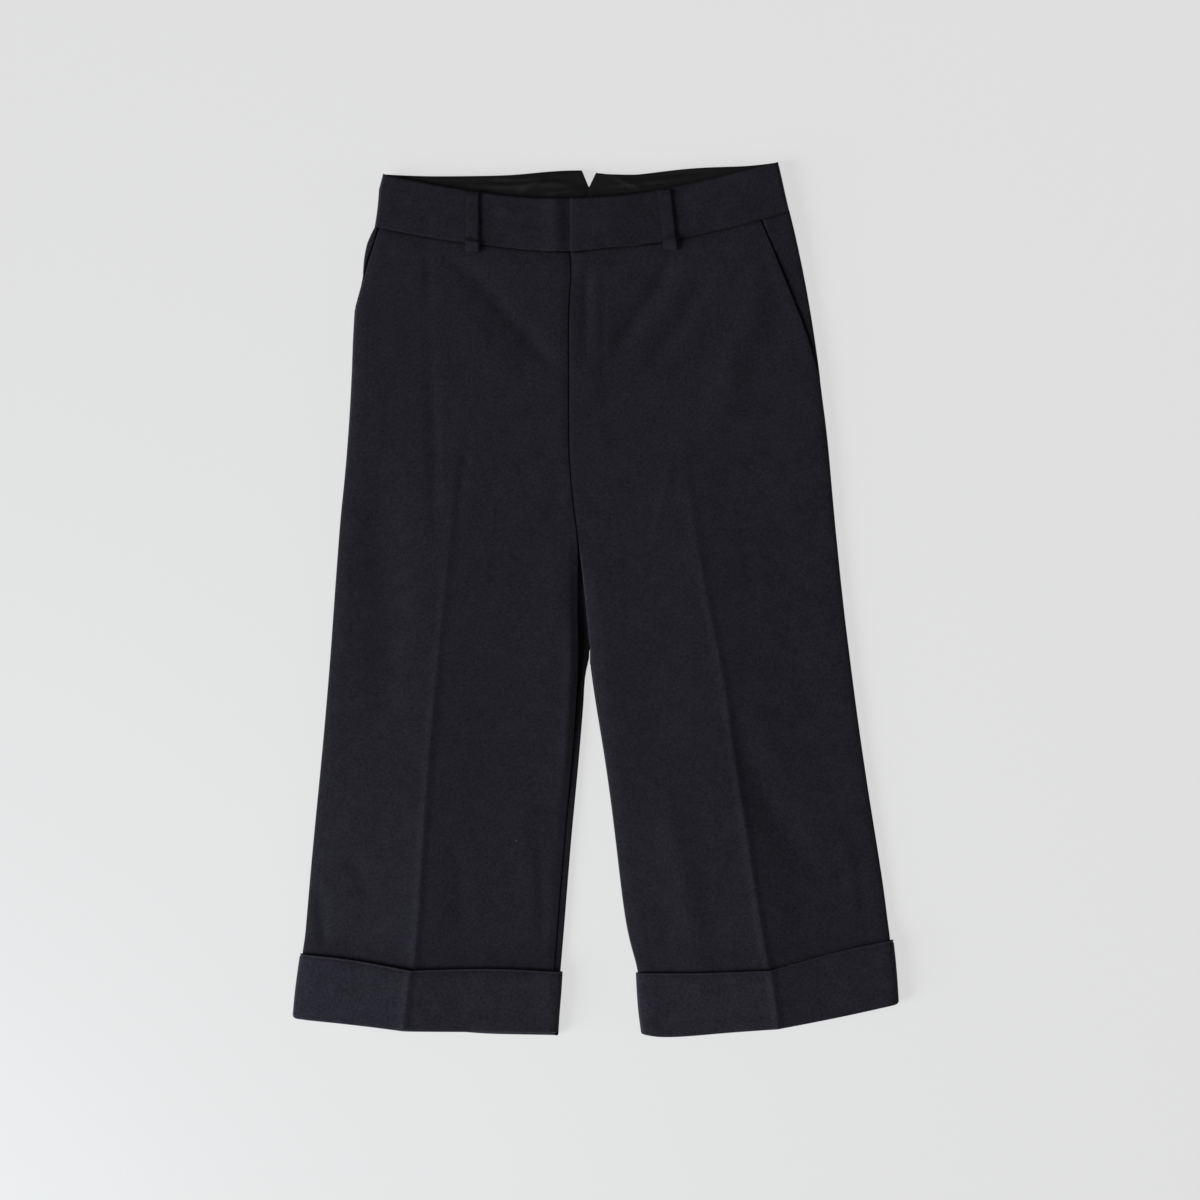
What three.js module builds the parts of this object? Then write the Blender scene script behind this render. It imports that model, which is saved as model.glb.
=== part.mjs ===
// Cropped wide-leg flannel trousers with turn-ups, laid out flat with the front up. Sizes are in
// millimetres. +X runs to the wearer's left, +Y to the waist and +Z up from the floor.
import * as THREE from "three";

const { clamp, degToRad, lerp } = THREE.MathUtils;

// Thicknesses and clearances
const CLOTH = 1.5; // one layer of flannel
const BAND = 2.4; // the waistband, of two layers and its interfacing
const FACING = 1; // the lining inside the back waistband
const SEAM_GAP = 0.3; // between two pieces where they are sewn together
const LAYER = CLOTH + SEAM_GAP; // from one layer to the next that lies on it

// Heights of the middle of each layer at the waist
const BACK_BAND_MIDDLE = CLOTH + SEAM_GAP + BAND / 2; // it lies on the back loops
const FACING_MIDDLE = BACK_BAND_MIDDLE + BAND / 2 + SEAM_GAP + FACING / 2;
const FRONT_BAND_MIDDLE = 7.4;
const UNDERLAP_MIDDLE = FACING_MIDDLE + FACING / 2 + SEAM_GAP + BAND / 2;
const OVERLAP_MIDDLE = UNDERLAP_MIDDLE + BAND + SEAM_GAP;

// Places of the closure, crotch and pockets
const UNDERLAP_LENGTH = 35; // the waistband's end under the other one
const FLY_END = 150; // the height where the fly shield stops
const FLY_SHIELD_WIDTH = 40;
const FRONT_CROTCH = 48; // where the front panels part
const BACK_CROTCH = -47; // where the outline parts
const POCKET_UNDERLAP = 12; // of the pocket bearer under the front
const LOOP_WIDTH = 12.6;
const LOOP_RISE = 2; // the slack under a belt loop
const LOOP_BELOW_SEAM = 9;

// Turn-ups
const CUFF_FOLD = 2.6; // the largest radius of the fold at the hem, beside the seams
const LIP = 0.8; // the straight bit after the fold inside
const LIP_END = CLOTH / 2 + CUFF_FOLD + LIP; // from the hem to the end of the fold inside
const PANEL_END = LIP_END + CLOTH; // from the hem to the end of a leg's panel
const CUFF_SEAM_HALF = 0.22; // half the gap between a turn-up's front and back
const RAMP = 22; // the length on which a leg's panel climbs into its turn-up
const WAIST_RAMP = 30; // the same under the waistband
const WAIST_LEVEL = 14; // below the waistband, where that ramp is over
const FOLD_START = 24; // below the crotch, the length on which an edge turns into a fold

// The curve of each long seam or edge across the garment: its height y at places x
const WAIST_SEAM = [
  { x: -199, y: 335.3 },
  { x: -168, y: 329 },
  { x: -134, y: 323.5 },
  { x: -102, y: 319 },
  { x: -54, y: 314 },
  { x: -23, y: 312.8 },
  { x: 15, y: 317 },
  { x: 54, y: 320 },
  { x: 76, y: 324.5 },
  { x: 123, y: 335 },
  { x: 148, y: 341.2 },
  { x: 175, y: 349.7 },
];
const FRONT_TOP = [
  { x: -191, y: 382 },
  { x: -140, y: 372 },
  { x: -102, y: 366 },
  { x: -54, y: 361 },
  { x: -23, y: 360.7 },
  { x: 27, y: 363.2 },
  { x: 54, y: 367.5 },
  { x: 92, y: 375 },
  { x: 117, y: 381 },
  { x: 164, y: 393 },
];
const BACK_TOP = [
  { x: -191, y: 383 },
  { x: -149, y: 381.2 },
  { x: -80, y: 382 },
  { x: -27, y: 386.6 },
  { x: -12, y: 386.6 },
  { x: 1.4, y: 384.3 },
  { x: 27, y: 382 },
  { x: 68, y: 386.6 },
  { x: 95, y: 389.3 },
  { x: 135, y: 390.2 },
  { x: 164, y: 393.8 },
];
const BACK_SEAM = [
  { x: -199, y: 335.3 },
  { x: -6, y: 338 },
  { x: 175, y: 349.7 },
];

// The centre front and the centre back: their place x at heights y
const CENTRE_FRONT = [
  { y: 362, x: -23 },
  { y: 313, x: -23 },
  { y: 306, x: -20.5 },
  { y: 290, x: -21.6 },
  { y: 278, x: -23.9 },
  { y: 144, x: -23.9 },
  { y: 96, x: -21.2 },
  { y: 71, x: -17.6 },
  { y: FRONT_CROTCH, x: -15 },
];
const CENTRE_BACK = [
  { y: 372, x: -5.9 },
  { y: BACK_CROTCH, x: -5 },
];
const NOTCH = { bottom: 372, depth: 14.4, right: 6.3, left: 7.3 }; // the V at the centre back

// Each side of the garment. Its sections have a row for each height y, with the outline's outer edge, the
// pressed crease, the front panel's inner edge and the outline's inner edge, each from its crotch down.
const RIGHT = {
  name: "right",
  outwards: -1,
  sections: [
    { y: 335, outer: -199, crease: -116 },
    { y: 322, outer: -205.2, crease: -116.6 },
    { y: 305, outer: -208.8, crease: -117.3 },
    { y: 281, outer: -210.2, crease: -118.3 },
    { y: 268, outer: -215.4, crease: -118.9 },
    { y: 250, outer: -218.4, crease: -119.7 },
    { y: 215, outer: -219.2, crease: -121.2 },
    { y: 144, outer: -222.8, crease: -124.3 },
    { y: 72, outer: -230, crease: -129.5 },
    { y: 48, outer: -231.9, crease: -131.6, rim: -15.3, fold: -5 },
    { y: 0, outer: -235.4, crease: -136.3, rim: -16.2, fold: -5 },
    { y: -47, outer: -238.7, crease: -141.2, rim: -15.4, fold: -5.4 },
    { y: -90, outer: -242.2, crease: -145.4, rim: -17.2, fold: -10.4 },
    { y: -145, outer: -247.1, crease: -150, rim: -21.4, fold: -14.9 },
    { y: -217, outer: -254.3, crease: -155.3, rim: -28, fold: -22 },
    { y: -289, outer: -260.6, crease: -159.8, rim: -33.8, fold: -27.6 },
    { y: -310, outer: -262.4, crease: -161.4, rim: -35.3, fold: -29.4 },
    { y: -318, outer: -264.2 },
    { y: -334, outer: -265, crease: -163.4, rim: -37.2, fold: -31.4 },
    { y: -392, outer: -267.6, crease: -169, rim: -40.4, fold: -35.8 },
  ],
  slit: [
    { y: 335, x: -194.3 },
    { y: 323, x: -197.6 },
    { y: 306, x: -204 },
    { y: 296, x: -206.6 },
    { y: 281, x: -210.2 },
  ],
  pocketEnd: 281,
  gape: 0.3,
  bandSide: [
    { y: 383, x: -191.3 },
    { y: 369, x: -194.9 },
    { y: 345, x: -196.7 },
    { y: 335, x: -198.9 },
  ],
  cuffTop: [
    { x: -266, y: -319 },
    { x: -226, y: -323 },
    { x: -166.3, y: -333.2 },
    { x: -100, y: -331.8 },
    { x: -30, y: -335.3 },
  ],
  hem: [
    { x: -272, y: -377.6 },
    { x: -216, y: -383 },
    { x: -173, y: -388.3 },
    { x: -130, y: -388.7 },
    { x: -34, y: -390.5 },
  ],
  backHem: [
    { x: -272, y: -377 },
    { x: -173, y: -388 },
    { x: -131, y: -388.6 },
    { x: -126, y: -390.8 },
    { x: -34, y: -392.8 },
  ],
  cuffSections: [
    { y: -315, outer: -265.6, crease: -164.6, fold: -29.4 },
    { y: -335, outer: -268.6, crease: -166.5, fold: -29.6 },
    { y: -357, outer: -271.4, crease: -169.4, fold: -30.8 },
    { y: -373, outer: -272.8, crease: -171.3, fold: -32.4 },
    { y: -392, outer: -272.6, crease: -173.4, fold: -33.8 },
  ],
  creaseRise: [
    { y: 150, high: 0 },
    { y: 60, high: 0.9 },
    { y: -60, high: 2 },
    { y: -305, high: 2.6 },
    { y: -335, high: 1.9 },
    { y: -360, high: 0.8 },
  ],
  cuffRise: 2.7,
  corners: { cuffTop: 2, hem: 2, backHem: 1 }, // the rows at the crease
  inseamOnTop: true,
  notch: -NOTCH.right,
  loop: { top: -111, bottom: -111 },
  backLoop: -81,
};
const LEFT = {
  name: "left",
  outwards: 1,
  sections: [
    { y: 350, outer: 174.6, crease: 65 },
    { y: 322, outer: 181.4, crease: 66.3 },
    { y: 288, outer: 188.6, crease: 67.9 },
    { y: 252, outer: 194.9, crease: 69.6 },
    { y: 215, outer: 200.3, crease: 71.4 },
    { y: 180, outer: 204.8, crease: 73.1 },
    { y: 144, outer: 209.3, crease: 75.8 },
    { y: 86, outer: 214.2, crease: 86 },
    { y: 48, outer: 218, crease: 92, rim: -15, fold: -5 },
    { y: 26, outer: 220.2, crease: 95.6, rim: -12.2, fold: -5 },
    { y: 0, outer: 222.8, crease: 100.4, rim: -9.5, fold: -5 },
    { y: -47, outer: 228.6, crease: 110.6, rim: -4.9, fold: -4.9 },
    { y: -90, outer: 234, crease: 117.7, rim: -0.5, fold: -0.5 },
    { y: -126, outer: 238.9, crease: 122.4, rim: 5.9, fold: 5.9 },
    { y: -162, outer: 244.3, crease: 128, rim: 11.3, fold: 11.3 },
    { y: -191, outer: 248.7, crease: 132.8, rim: 15.1, fold: 15.1 },
    { y: -252, outer: 258.6, crease: 142, rim: 22.1, fold: 22.1 },
    { y: -289, outer: 263.3, crease: 148, rim: 26.8, fold: 26.8 },
    { y: -306, outer: 265.4, crease: 150.8, rim: 30.4, fold: 30.4 },
    { y: -336, outer: 267.4, crease: 156.2, rim: 38.4, fold: 38.4 },
    { y: -392, outer: 267.4, crease: 163.6, rim: 44.6, fold: 44.6 },
  ],
  slit: [
    { y: 342, x: 148 },
    { y: 310, x: 161.6 },
    { y: 271, x: 177 },
    { y: 235, x: 192 },
    { y: 203, x: 200.6 },
    { y: 193, x: 203 },
  ],
  pocketEnd: 195,
  gape: 1.1,
  bandSide: [
    { y: 394, x: 164.3 },
    { y: 379, x: 167.9 },
    { y: 365, x: 170.8 },
    { y: 350, x: 174.4 },
  ],
  cuffTop: [
    { x: 36.5, y: -336.2 },
    { x: 83, y: -336 },
    { x: 157.2, y: -333.2 },
    { x: 230, y: -314 },
    { x: 268, y: -306.5 },
  ],
  hem: [
    { x: 42, y: -391.7 },
    { x: 61, y: -394.2 },
    { x: 122, y: -389.3 },
    { x: 164.4, y: -386.3 },
    { x: 230, y: -374 },
    { x: 272, y: -365 },
  ],
  backHem: [
    { x: 42, y: -391.4 },
    { x: 61, y: -393.8 },
    { x: 122, y: -389 },
    { x: 164.4, y: -385.9 },
    { x: 230, y: -373.6 },
    { x: 272, y: -364.6 },
  ],
  cuffSections: [
    { y: -300, outer: 267.6, crease: 154, fold: 34.6 },
    { y: -324, outer: 270.5, crease: 156, fold: 35.8 },
    { y: -346, outer: 272.3, crease: 159, fold: 36.7 },
    { y: -360, outer: 273.2, crease: 161, fold: 37.4 },
    { y: -378, outer: 272.6, crease: 163.3, fold: 39.2 },
    { y: -392, outer: 272, crease: 165, fold: 41.8 },
  ],
  creaseRise: [
    { y: 170, high: 0 },
    { y: 90, high: 1 },
    { y: -30, high: 2 },
    { y: -305, high: 2.6 },
    { y: -335, high: 1.9 },
    { y: -360, high: 0.8 },
  ],
  cuffRise: 2.7,
  corners: { cuffTop: 2, hem: 3, backHem: 3 },
  inseamOnTop: false,
  notch: NOTCH.left,
  loop: { top: 61.5, bottom: 67.5 },
  backLoop: 69,
};
const SIDES = [RIGHT, LEFT];

// The underside of the front above the floor: the body stands fuller at the waist than the legs
const LOFT = [
  { y: 360, under: 6.6 },
  { y: 325, under: 6.4 },
  { y: 281, under: 5 },
  { y: 200, under: 4.5 },
  { y: 130, under: 4 },
  { y: 48, under: 3.4 },
  { y: -60, under: 3.2 },
  { y: -150, under: 2.9 },
  { y: -335, under: 2.6 },
  { y: -400, under: 2.6 },
];
// How far the front rolls down at its inner edge beside the inseam that lies on top
const INSEAM_ROLL = [
  { y: 60, down: 0 },
  { y: 10, down: 1.9 },
  { y: -90, down: 1.9 },
  { y: -200, down: 0.7 },
  { y: -400, down: 0.4 },
];
// The largest soft folds of the front: straight ridges or troughs that fade out at both ends
const FOLDS = [
  { name: "drag below the right loop", x: -152, y: 318, toX: -58, toY: 250, wide: 11, high: -0.9 },
  { name: "drag below the left loop", x: 82, y: 308, toX: 25, toY: 226, wide: 10, high: -0.9 },
  { name: "drag from the left pocket", x: 132, y: 318, toX: 42, toY: 196, wide: 15, high: 0.6 },
  { name: "hollow beside the fly's edge", x: -10.5, y: 306, toX: -10.5, toY: 222, wide: 5, high: -0.5 },
  { name: "fullness at the right inseam", x: -32, y: 62, toX: -40, toY: -190, wide: 19, high: 1.3 },
  { name: "fullness at the left inseam", x: 4, y: 62, toX: 36, toY: -200, wide: 19, high: 0.9 },
  { name: "second fold of the left leg", x: 60, y: -180, toX: 92, toY: -350, wide: 15, high: 1.3 },
  { name: "hollow beside the left crease", x: 142, y: -130, toX: 170, toY: -262, wide: 14, high: -0.5 },
  { name: "swell of the right leg", x: -74, y: 20, toX: -66, toY: -180, wide: 22, high: 0.7 },
];
const ROLL = { wide: 12, down: 0.8 }; // how the front rounds off before its side folds
const GAPE_WIDTH = 16; // how far in from a pocket's edge the front stands off its bearer
const SOFT_EDGE = 8; // the width on which the right front sinks to the fly and to its inseam
const CREASE_FLANK = { reach: 34, bend: 1.7 }; // how far a crease's flanks reach and how hollow they are
const FLY_DIP = 0.5; // how far the right front sinks beside the fly
const OVER_INSEAM = 0.6; // how far the back's rim lies over the rest of its fold
const WRAP_STEP = 1.4; // between the back's stations where its edge still lies flat
// How far below the crotch the back's edge has risen, and from where to where it folds over
const WRAP = { risen: 14, foldsFrom: 8, foldsTo: 40 };
const FADE = { begins: -0.15, full: 0.3 }; // where along its line a fold begins and is at its full height
const GAPE_FADE = 0.35; // the share of a pocket's edge on which it lifts off its bearer
const CLIMB_END = 2; // above a turn-up, where the leg's panel has climbed into it
// The side seam's change from the bearer to the front, above and below the pocket's end
const POCKET_FADE = { above: 2, below: 10 };
const UNDERLAP_DIP = { from: 14, to: 1 }; // the right waistband's dip, measured from the centre front
const OVERLAP_FALL = { from: 3, to: 24 }; // the left one's fall, measured from the end of the underlap
const FACING_INSET = { side: 6, top: 1, seam: 2 }; // the lining's edges inside the back waistband
const LOOP_INSET = { front: 0.5, back: 1 }; // a belt loop's upper end below the waistband's top
const LOOP_CLEARANCE = SEAM_GAP + 0.1; // between a front loop and the waistband
const LOOP_DROP = { from: 0.75, to: 0.9 }; // the share of a loop where it steps down to the front
const LOOP_ARCH = { up: 0.2, down: 0.84 }; // the shares of a loop where its slack begins and ends
const BEARER_ABOVE = 3; // the pocket bearer's lower edge above the pocket's end
const SHIELD = { deeper: 0.5, under: 8 }; // the fly shield's clearance and its reach past the centre
const CROSSING_TURNS = 12; // rounds in which a row's crossing with an edge is found
const FLY_FACING = { wide: 30, soft: 8, high: 0.5, end: 160 };
const WAIST_END_OF_FLY = { reach: 40, soft: 20, high: 1.6, long: 34 };

// Looks of the cloths
const FLANNEL = new THREE.MeshStandardMaterial({ color: 0x1f2028, roughness: 0.95, metalness: 0 });
const LINING = new THREE.MeshStandardMaterial({ color: 0x181816, roughness: 0.75, metalness: 0 });

// 0 before `from`, 1 past `to` and an even S between them
function smooth(from, to, value) {
  const t = clamp((value - from) / (to - from), 0, 1);
  return t * t * (3 - 2 * t);
}

// A smooth curve through the rows of a table: column `value` at any place on column `by`. The slope at a
// row is held between those beside it, so the curve doesn't swing past its rows.
function through(table, by, value) {
  const rows = table.filter((row) => value in row).sort((a, b) => a[by] - b[by]);
  const last = rows.length - 1;
  const rise = rows.slice(1).map((row, i) => (row[value] - rows[i][value]) / (row[by] - rows[i][by]));
  const slope = rows.map((_, i) => {
    const before = rise[Math.max(i - 1, 0)];
    const after = rise[Math.min(i, last - 1)];
    return before * after <= 0 ? 0 : (2 * before * after) / (before + after);
  });
  return (place) => {
    if (place <= rows[0][by]) return rows[0][value] + slope[0] * (place - rows[0][by]);
    if (place >= rows[last][by]) return rows[last][value] + slope[last] * (place - rows[last][by]);
    const i = rows.findLastIndex((row) => row[by] <= place);
    const run = rows[i + 1][by] - rows[i][by];
    const t = (place - rows[i][by]) / run;
    const bend = (slope[i] + slope[i + 1]) * run + 2 * (rows[i][value] - rows[i + 1][value]);
    const lift = rows[i + 1][value] - rows[i][value] - slope[i] * run - bend;
    return rows[i][value] + t * (slope[i] * run + t * (lift + t * bend));
  };
}

// The same with a corner at one row, as where a pressed crease crosses an edge
function cornered(table, corner) {
  const before = through(table.slice(0, corner + 1), "x", "y");
  const after = through(table.slice(corner), "x", "y");
  return (x) => (x < table[corner].x ? before(x) : after(x));
}

const waistSeam = through(WAIST_SEAM, "x", "y");
const frontTop = through(FRONT_TOP, "x", "y");
const backTop = through(BACK_TOP, "x", "y");
const backSeam = through(BACK_SEAM, "x", "y");
const centreFront = through(CENTRE_FRONT, "y", "x");
const centreBack = through(CENTRE_BACK, "y", "x");
const loft = through(LOFT, "y", "under");
const inseamRoll = through(INSEAM_ROLL, "y", "down");

// The curves of one side, worked out from its tables
for (const side of SIDES) {
  const inner = { front: through(side.sections, "y", "rim"), back: through(side.sections, "y", "fold") };
  side.outline = through(side.sections, "y", "outer");
  side.crease = through(side.sections, "y", "crease");
  side.frontInner = (y) => (y > FRONT_CROTCH ? centreFront(y) : inner.front(y));
  side.backInner = (y) => (y > BACK_CROTCH ? centreBack(y) : inner.back(y));
  side.slitEdge = through(side.slit, "y", "x");
  side.frontOuter = (y) => (y > side.pocketEnd ? side.slitEdge(y) : side.outline(y));
  side.bandEdge = through(side.bandSide, "y", "x");
  side.cuffEdge = cornered(side.cuffTop, side.corners.cuffTop);
  side.hemEdge = {
    front: cornered(side.hem, side.corners.hem),
    back: cornered(side.backHem, side.corners.backHem),
  };
  side.cuffOuter = through(side.cuffSections, "y", "outer");
  side.cuffCrease = through(side.cuffSections, "y", "crease");
  side.cuffInner = through(side.cuffSections, "y", "fold");
  side.ridge = through(side.creaseRise, "y", "high");
}

// The distance of a point from a fold's line, and how far along the line it lies, from 0 to 1
function besideLine(fold, x, y) {
  const run = new THREE.Vector2(fold.toX - fold.x, fold.toY - fold.y);
  const from = new THREE.Vector2(x - fold.x, y - fold.y);
  return { off: run.cross(from) / run.length(), along: run.dot(from) / run.lengthSq() };
}

// The soft folds and the fly's own thickness, as a change of the front's height
function relief(side, x, y) {
  let high = 0;
  for (const fold of FOLDS) {
    const { off, along } = besideLine(fold, x, y);
    const ends = smooth(FADE.begins, FADE.full, along) * smooth(FADE.begins, FADE.full, 1 - along);
    high += fold.high * ends * Math.exp(-((off / fold.wide) ** 2));
  }
  const fromCentre = x - centreFront(y);
  if (side === LEFT && y > FRONT_CROTCH) {
    const { wide, soft, high: thick, end } = FLY_FACING;
    high += thick * smooth(wide + soft, wide - soft, fromCentre) * smooth(end - soft, end + soft, y);
    const { reach, soft: fade, high: full, long } = WAIST_END_OF_FLY;
    high += full * smooth(reach, reach - fade, fromCentre) * smooth(waistSeam(x) - long, waistSeam(x), y);
  }
  return high;
}

// How far the front sinks towards a fold: `off` is the distance from the fold
function rolled(off) {
  return ROLL.down * clamp(1 - off / ROLL.wide, 0, 1) ** 2;
}

// How far the front stands off its pocket bearer along the pocket's edge
function gape(side, x, y) {
  const along = (y - side.pocketEnd) / (waistSeam(x) - side.pocketEnd);
  const inside = clamp(1 - (side.outwards * (side.slitEdge(y) - x)) / GAPE_WIDTH, 0, 1);
  return side.gape * smooth(0, GAPE_FADE, along) * smooth(0, GAPE_FADE, 1 - along) * inside ** 2;
}

// How far a leg's panel has climbed into its turn-up, from 0 to 1
function climbed(side, x, y) {
  return smooth(RAMP, CLIMB_END, y - side.cuffEdge(x));
}

// The height of the middle of the back's cloth, and of the front's
function backMiddle(side, x, y) {
  const level = backSeam(x) - WAIST_LEVEL;
  const waist = smooth(level - WAIST_RAMP, level, y);
  return CLOTH / 2 + LAYER * (waist + climbed(side, x, y));
}
function frontMiddle(side, x, y) {
  const pressed = creased(x - side.crease(y), clamp(side.ridge(y), 0, side.cuffRise));
  const inner = side.inseamOnTop || y > FRONT_CROTCH ? 0 : rolled(side.outwards * (x - side.frontInner(y)));
  const down = rolled(side.outwards * (side.outline(y) - x)) + inner;
  return loft(y) + CLOTH / 2 + LAYER * climbed(side, x, y) + relief(side, x, y) + pressed - down;
}

// A pressed crease: a sharp ridge with hollow flanks
function creased(off, high) {
  return high * Math.max(1 - Math.abs(off) / CREASE_FLANK.reach, 0) ** CREASE_FLANK.bend;
}

// The height of the middle of a turn-up's outer layer in front
function cuffMiddle(side, x, y) {
  const flat = loft(y) + CLOTH / 2 + 2 * LAYER + relief(side, x, y);
  const outer = rolled(side.outwards * (side.cuffOuter(y) - x));
  const inner = rolled(side.outwards * (x - side.cuffInner(y)));
  return flat + creased(x - side.cuffCrease(y), side.cuffRise) - outer - inner;
}

// The height of the side seam: halfway between the back and what meets it, the pocket bearer or the front
function sideSeam(side, y) {
  const x = side.outline(y);
  const pocket = smooth(side.pocketEnd - POCKET_FADE.below, side.pocketEnd + POCKET_FADE.above, y);
  return (backMiddle(side, x, y) + frontMiddle(side, x, y) - LAYER * pocket) / 2;
}

// A closed wall of cloth: a grid of points of its middle surface, thickened to both sides
function clothWall(name, points, thickness, material) {
  const rows = points.length;
  const columns = points[0].length;
  // Past an edge the wall goes on as it bends, so its rim stands square to the cloth.
  const beyond = (a, b, c) => {
    const straight = a.clone().lerp(b, 2);
    return a.clone().multiplyScalar(3).addScaledVector(b, -3).add(c || straight);
  };
  const at = (i, j) => {
    if (i < 0) return beyond(at(0, j), at(1, j), rows > 2 && at(2, j));
    if (i >= rows) return beyond(at(rows - 1, j), at(rows - 2, j), rows > 2 && at(rows - 3, j));
    if (j < 0) return beyond(at(i, 0), at(i, 1), columns > 2 && at(i, 2));
    if (j >= columns) return beyond(at(i, columns - 1), at(i, columns - 2), columns > 2 && at(i, columns - 3));
    return points[i][j];
  };
  const positions = [];
  for (const face of [1, -1]) {
    for (let i = 0; i < rows; i++) {
      for (let j = 0; j < columns; j++) {
        const along = at(i + 1, j).clone().sub(at(i - 1, j));
        const across = at(i, j + 1).clone().sub(at(i, j - 1));
        const normal = along.cross(across).normalize();
        positions.push(...at(i, j).clone().addScaledVector(normal, (face * thickness) / 2).toArray());
      }
    }
  }
  const index = [];
  const under = rows * columns; // from a point of the upper face to the one below it
  const quad = (a, b, c, d) => index.push(a, b, c, a, c, d);
  for (let i = 0; i < rows - 1; i++) {
    for (let j = 0; j < columns - 1; j++) {
      const a = i * columns + j;
      quad(a, a + columns, a + columns + 1, a + 1);
      quad(under + a, under + a + 1, under + a + columns + 1, under + a + columns);
    }
  }
  const rim = [];
  for (let j = 0; j < columns - 1; j++) rim.push(j);
  for (let i = 0; i < rows - 1; i++) rim.push(i * columns + columns - 1);
  for (let j = columns - 1; j > 0; j--) rim.push((rows - 1) * columns + j);
  for (let i = rows - 1; i > 0; i--) rim.push(i * columns);
  rim.forEach((a, k) => {
    const b = rim[(k + 1) % rim.length];
    quad(a, b, under + b, under + a);
  });
  const geometry = new THREE.BufferGeometry();
  geometry.setAttribute("position", new THREE.Float32BufferAttribute(positions, 3));
  geometry.setIndex(index);
  geometry.computeVertexNormals();
  const mesh = new THREE.Mesh(geometry, material);
  mesh.name = name;
  return mesh;
}

// The rows of a piece: they turn evenly from its upper curve into its lower one. `stations` gives a row's
// places across, each with its height, and `meet` finds the place where the row crosses an edge.
function rowsBetween({ upper, lower, steps, stations }) {
  return steps.map((step) => {
    const level = (x) => lerp(upper(x), lower(x), step);
    const meet = (edge) => {
      let x = edge(level(0));
      for (let turn = 0; turn < CROSSING_TURNS; turn++) x = edge(level(x));
      return x;
    };
    return stations(meet, level).map(({ x, z }) => new THREE.Vector3(x, level(x), z));
  });
}

const QUARTER = [0, 30, 60, 90].map(degToRad);

// The stations of an edge that turns towards a seam: a quarter turn from the rim to the piece's own height
function turnedEdge({ edge, inwards, inset, radius, rim, height }) {
  return QUARTER.map((angle) => {
    const x = edge + inwards * (inset + radius * (1 - Math.cos(angle)));
    return { x, z: lerp(rim, height(x), Math.sin(angle)) };
  });
}

// The stations of an edge that sinks softly to its rim
function softEdge({ edge, inwards, width, rim, height }) {
  return [0, 1 / 3, 2 / 3, 1].map((share) => {
    const x = edge + inwards * (SEAM_GAP / 2 + width * share);
    return { x, z: lerp(rim, height(x), smooth(0, 1, share)) };
  });
}

// Stations between two places, at shares of the way
function between(from, to, shares, height) {
  return shares.map((share) => {
    const x = lerp(from, to, share);
    return { x, z: height(x) };
  });
}

const CREASE_COLUMN = 11; // a station on each side of the crease
const TO_CREASE = [0.05, 0.13, 0.32, 0.55, 0.78];
const FROM_CREASE = [0.22, 0.45, 0.68, 0.87, 0.95];

// A panel with a crease: turned outer edge, stations to the crease and past it, turned inner edge
function creasedStations({ outer, inner, crease, height, outwards }) {
  const outerEnd = outer[outer.length - 1].x;
  const innerEnd = inner[inner.length - 1].x;
  const before = crease + outwards * CREASE_COLUMN;
  const after = crease - outwards * CREASE_COLUMN;
  return [
    ...outer,
    ...between(outerEnd, before, TO_CREASE, height),
    ...between(before, after, [0, 0.5, 1], height),
    ...between(after, innerEnd, FROM_CREASE, height),
    ...inner.reverse(),
  ];
}

// Shares of the way down a panel: closer together at the pocket, at the crotch and above the turn-up
const FRONT_STEPS = [
  0, 0.03, 0.07, 0.11, 0.15, 0.19, 0.22, 0.26, 0.31, 0.36, 0.385, 0.42, 0.46, 0.5, 0.54, 0.58, 0.63, 0.69,
  0.75, 0.81, 0.86, 0.89, 0.905, 0.92, 0.935, 1,
];
const BACK_STEPS = [
  0, 0.03, 0.065, 0.1, 0.16, 0.22, 0.3, 0.38, 0.46, 0.52, 0.54, 0.555, 0.57, 0.59, 0.62, 0.68, 0.75, 0.82,
  0.88, 0.905, 0.92, 0.935, 1,
];

// The front panel's stations on any row across a leg
function frontStations(side, meet, level) {
  const height = (x) => frontMiddle(side, x, level(x)) + gape(side, x, level(x));
  const edge = meet(side.frontOuter);
  const y = level(edge);
  // Below the pocket it turns to the side seam.
  const sewn = smooth(side.pocketEnd, side.pocketEnd - POCKET_FADE.below, y);
  const outer = turnedEdge({
    edge,
    inwards: -side.outwards,
    inset: lerp(SEAM_GAP / 2, CLOTH / 2, sewn),
    radius: (frontMiddle(side, edge, y) - backMiddle(side, edge, y)) / 2,
    rim: lerp(height(edge), sideSeam(side, y) + SEAM_GAP / 2, sewn),
    height,
  });
  return creasedStations({
    outer,
    inner: frontInnerEdge(side, meet(side.frontInner), level, height),
    crease: meet(side.crease),
    height,
    outwards: side.outwards,
  });
}

// The front panel's edge at the fly, the crotch and the inseam
function frontInnerEdge(side, edge, level, height) {
  const y = level(edge);
  const inwards = side.outwards;
  if (side.inseamOnTop) {
    const dip = y > FRONT_CROTCH ? FLY_DIP * smooth(FRONT_CROTCH, FLY_END, y) : 0;
    const rim = height(edge) - Math.max(dip, inseamRoll(y));
    return softEdge({ edge, inwards, width: SOFT_EDGE, rim, height });
  }
  const folded = smooth(FRONT_CROTCH, FRONT_CROTCH - FOLD_START, y);
  const turned = (frontMiddle(side, edge, y) + backMiddle(side, edge, y)) / 2 + SEAM_GAP / 2;
  return turnedEdge({
    edge,
    inwards,
    inset: lerp(SEAM_GAP / 2, CLOTH / 2, folded),
    radius: (frontMiddle(side, edge, y) - backMiddle(side, edge, y)) / 2,
    rim: lerp(height(edge), turned, folded),
    height,
  });
}

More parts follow.
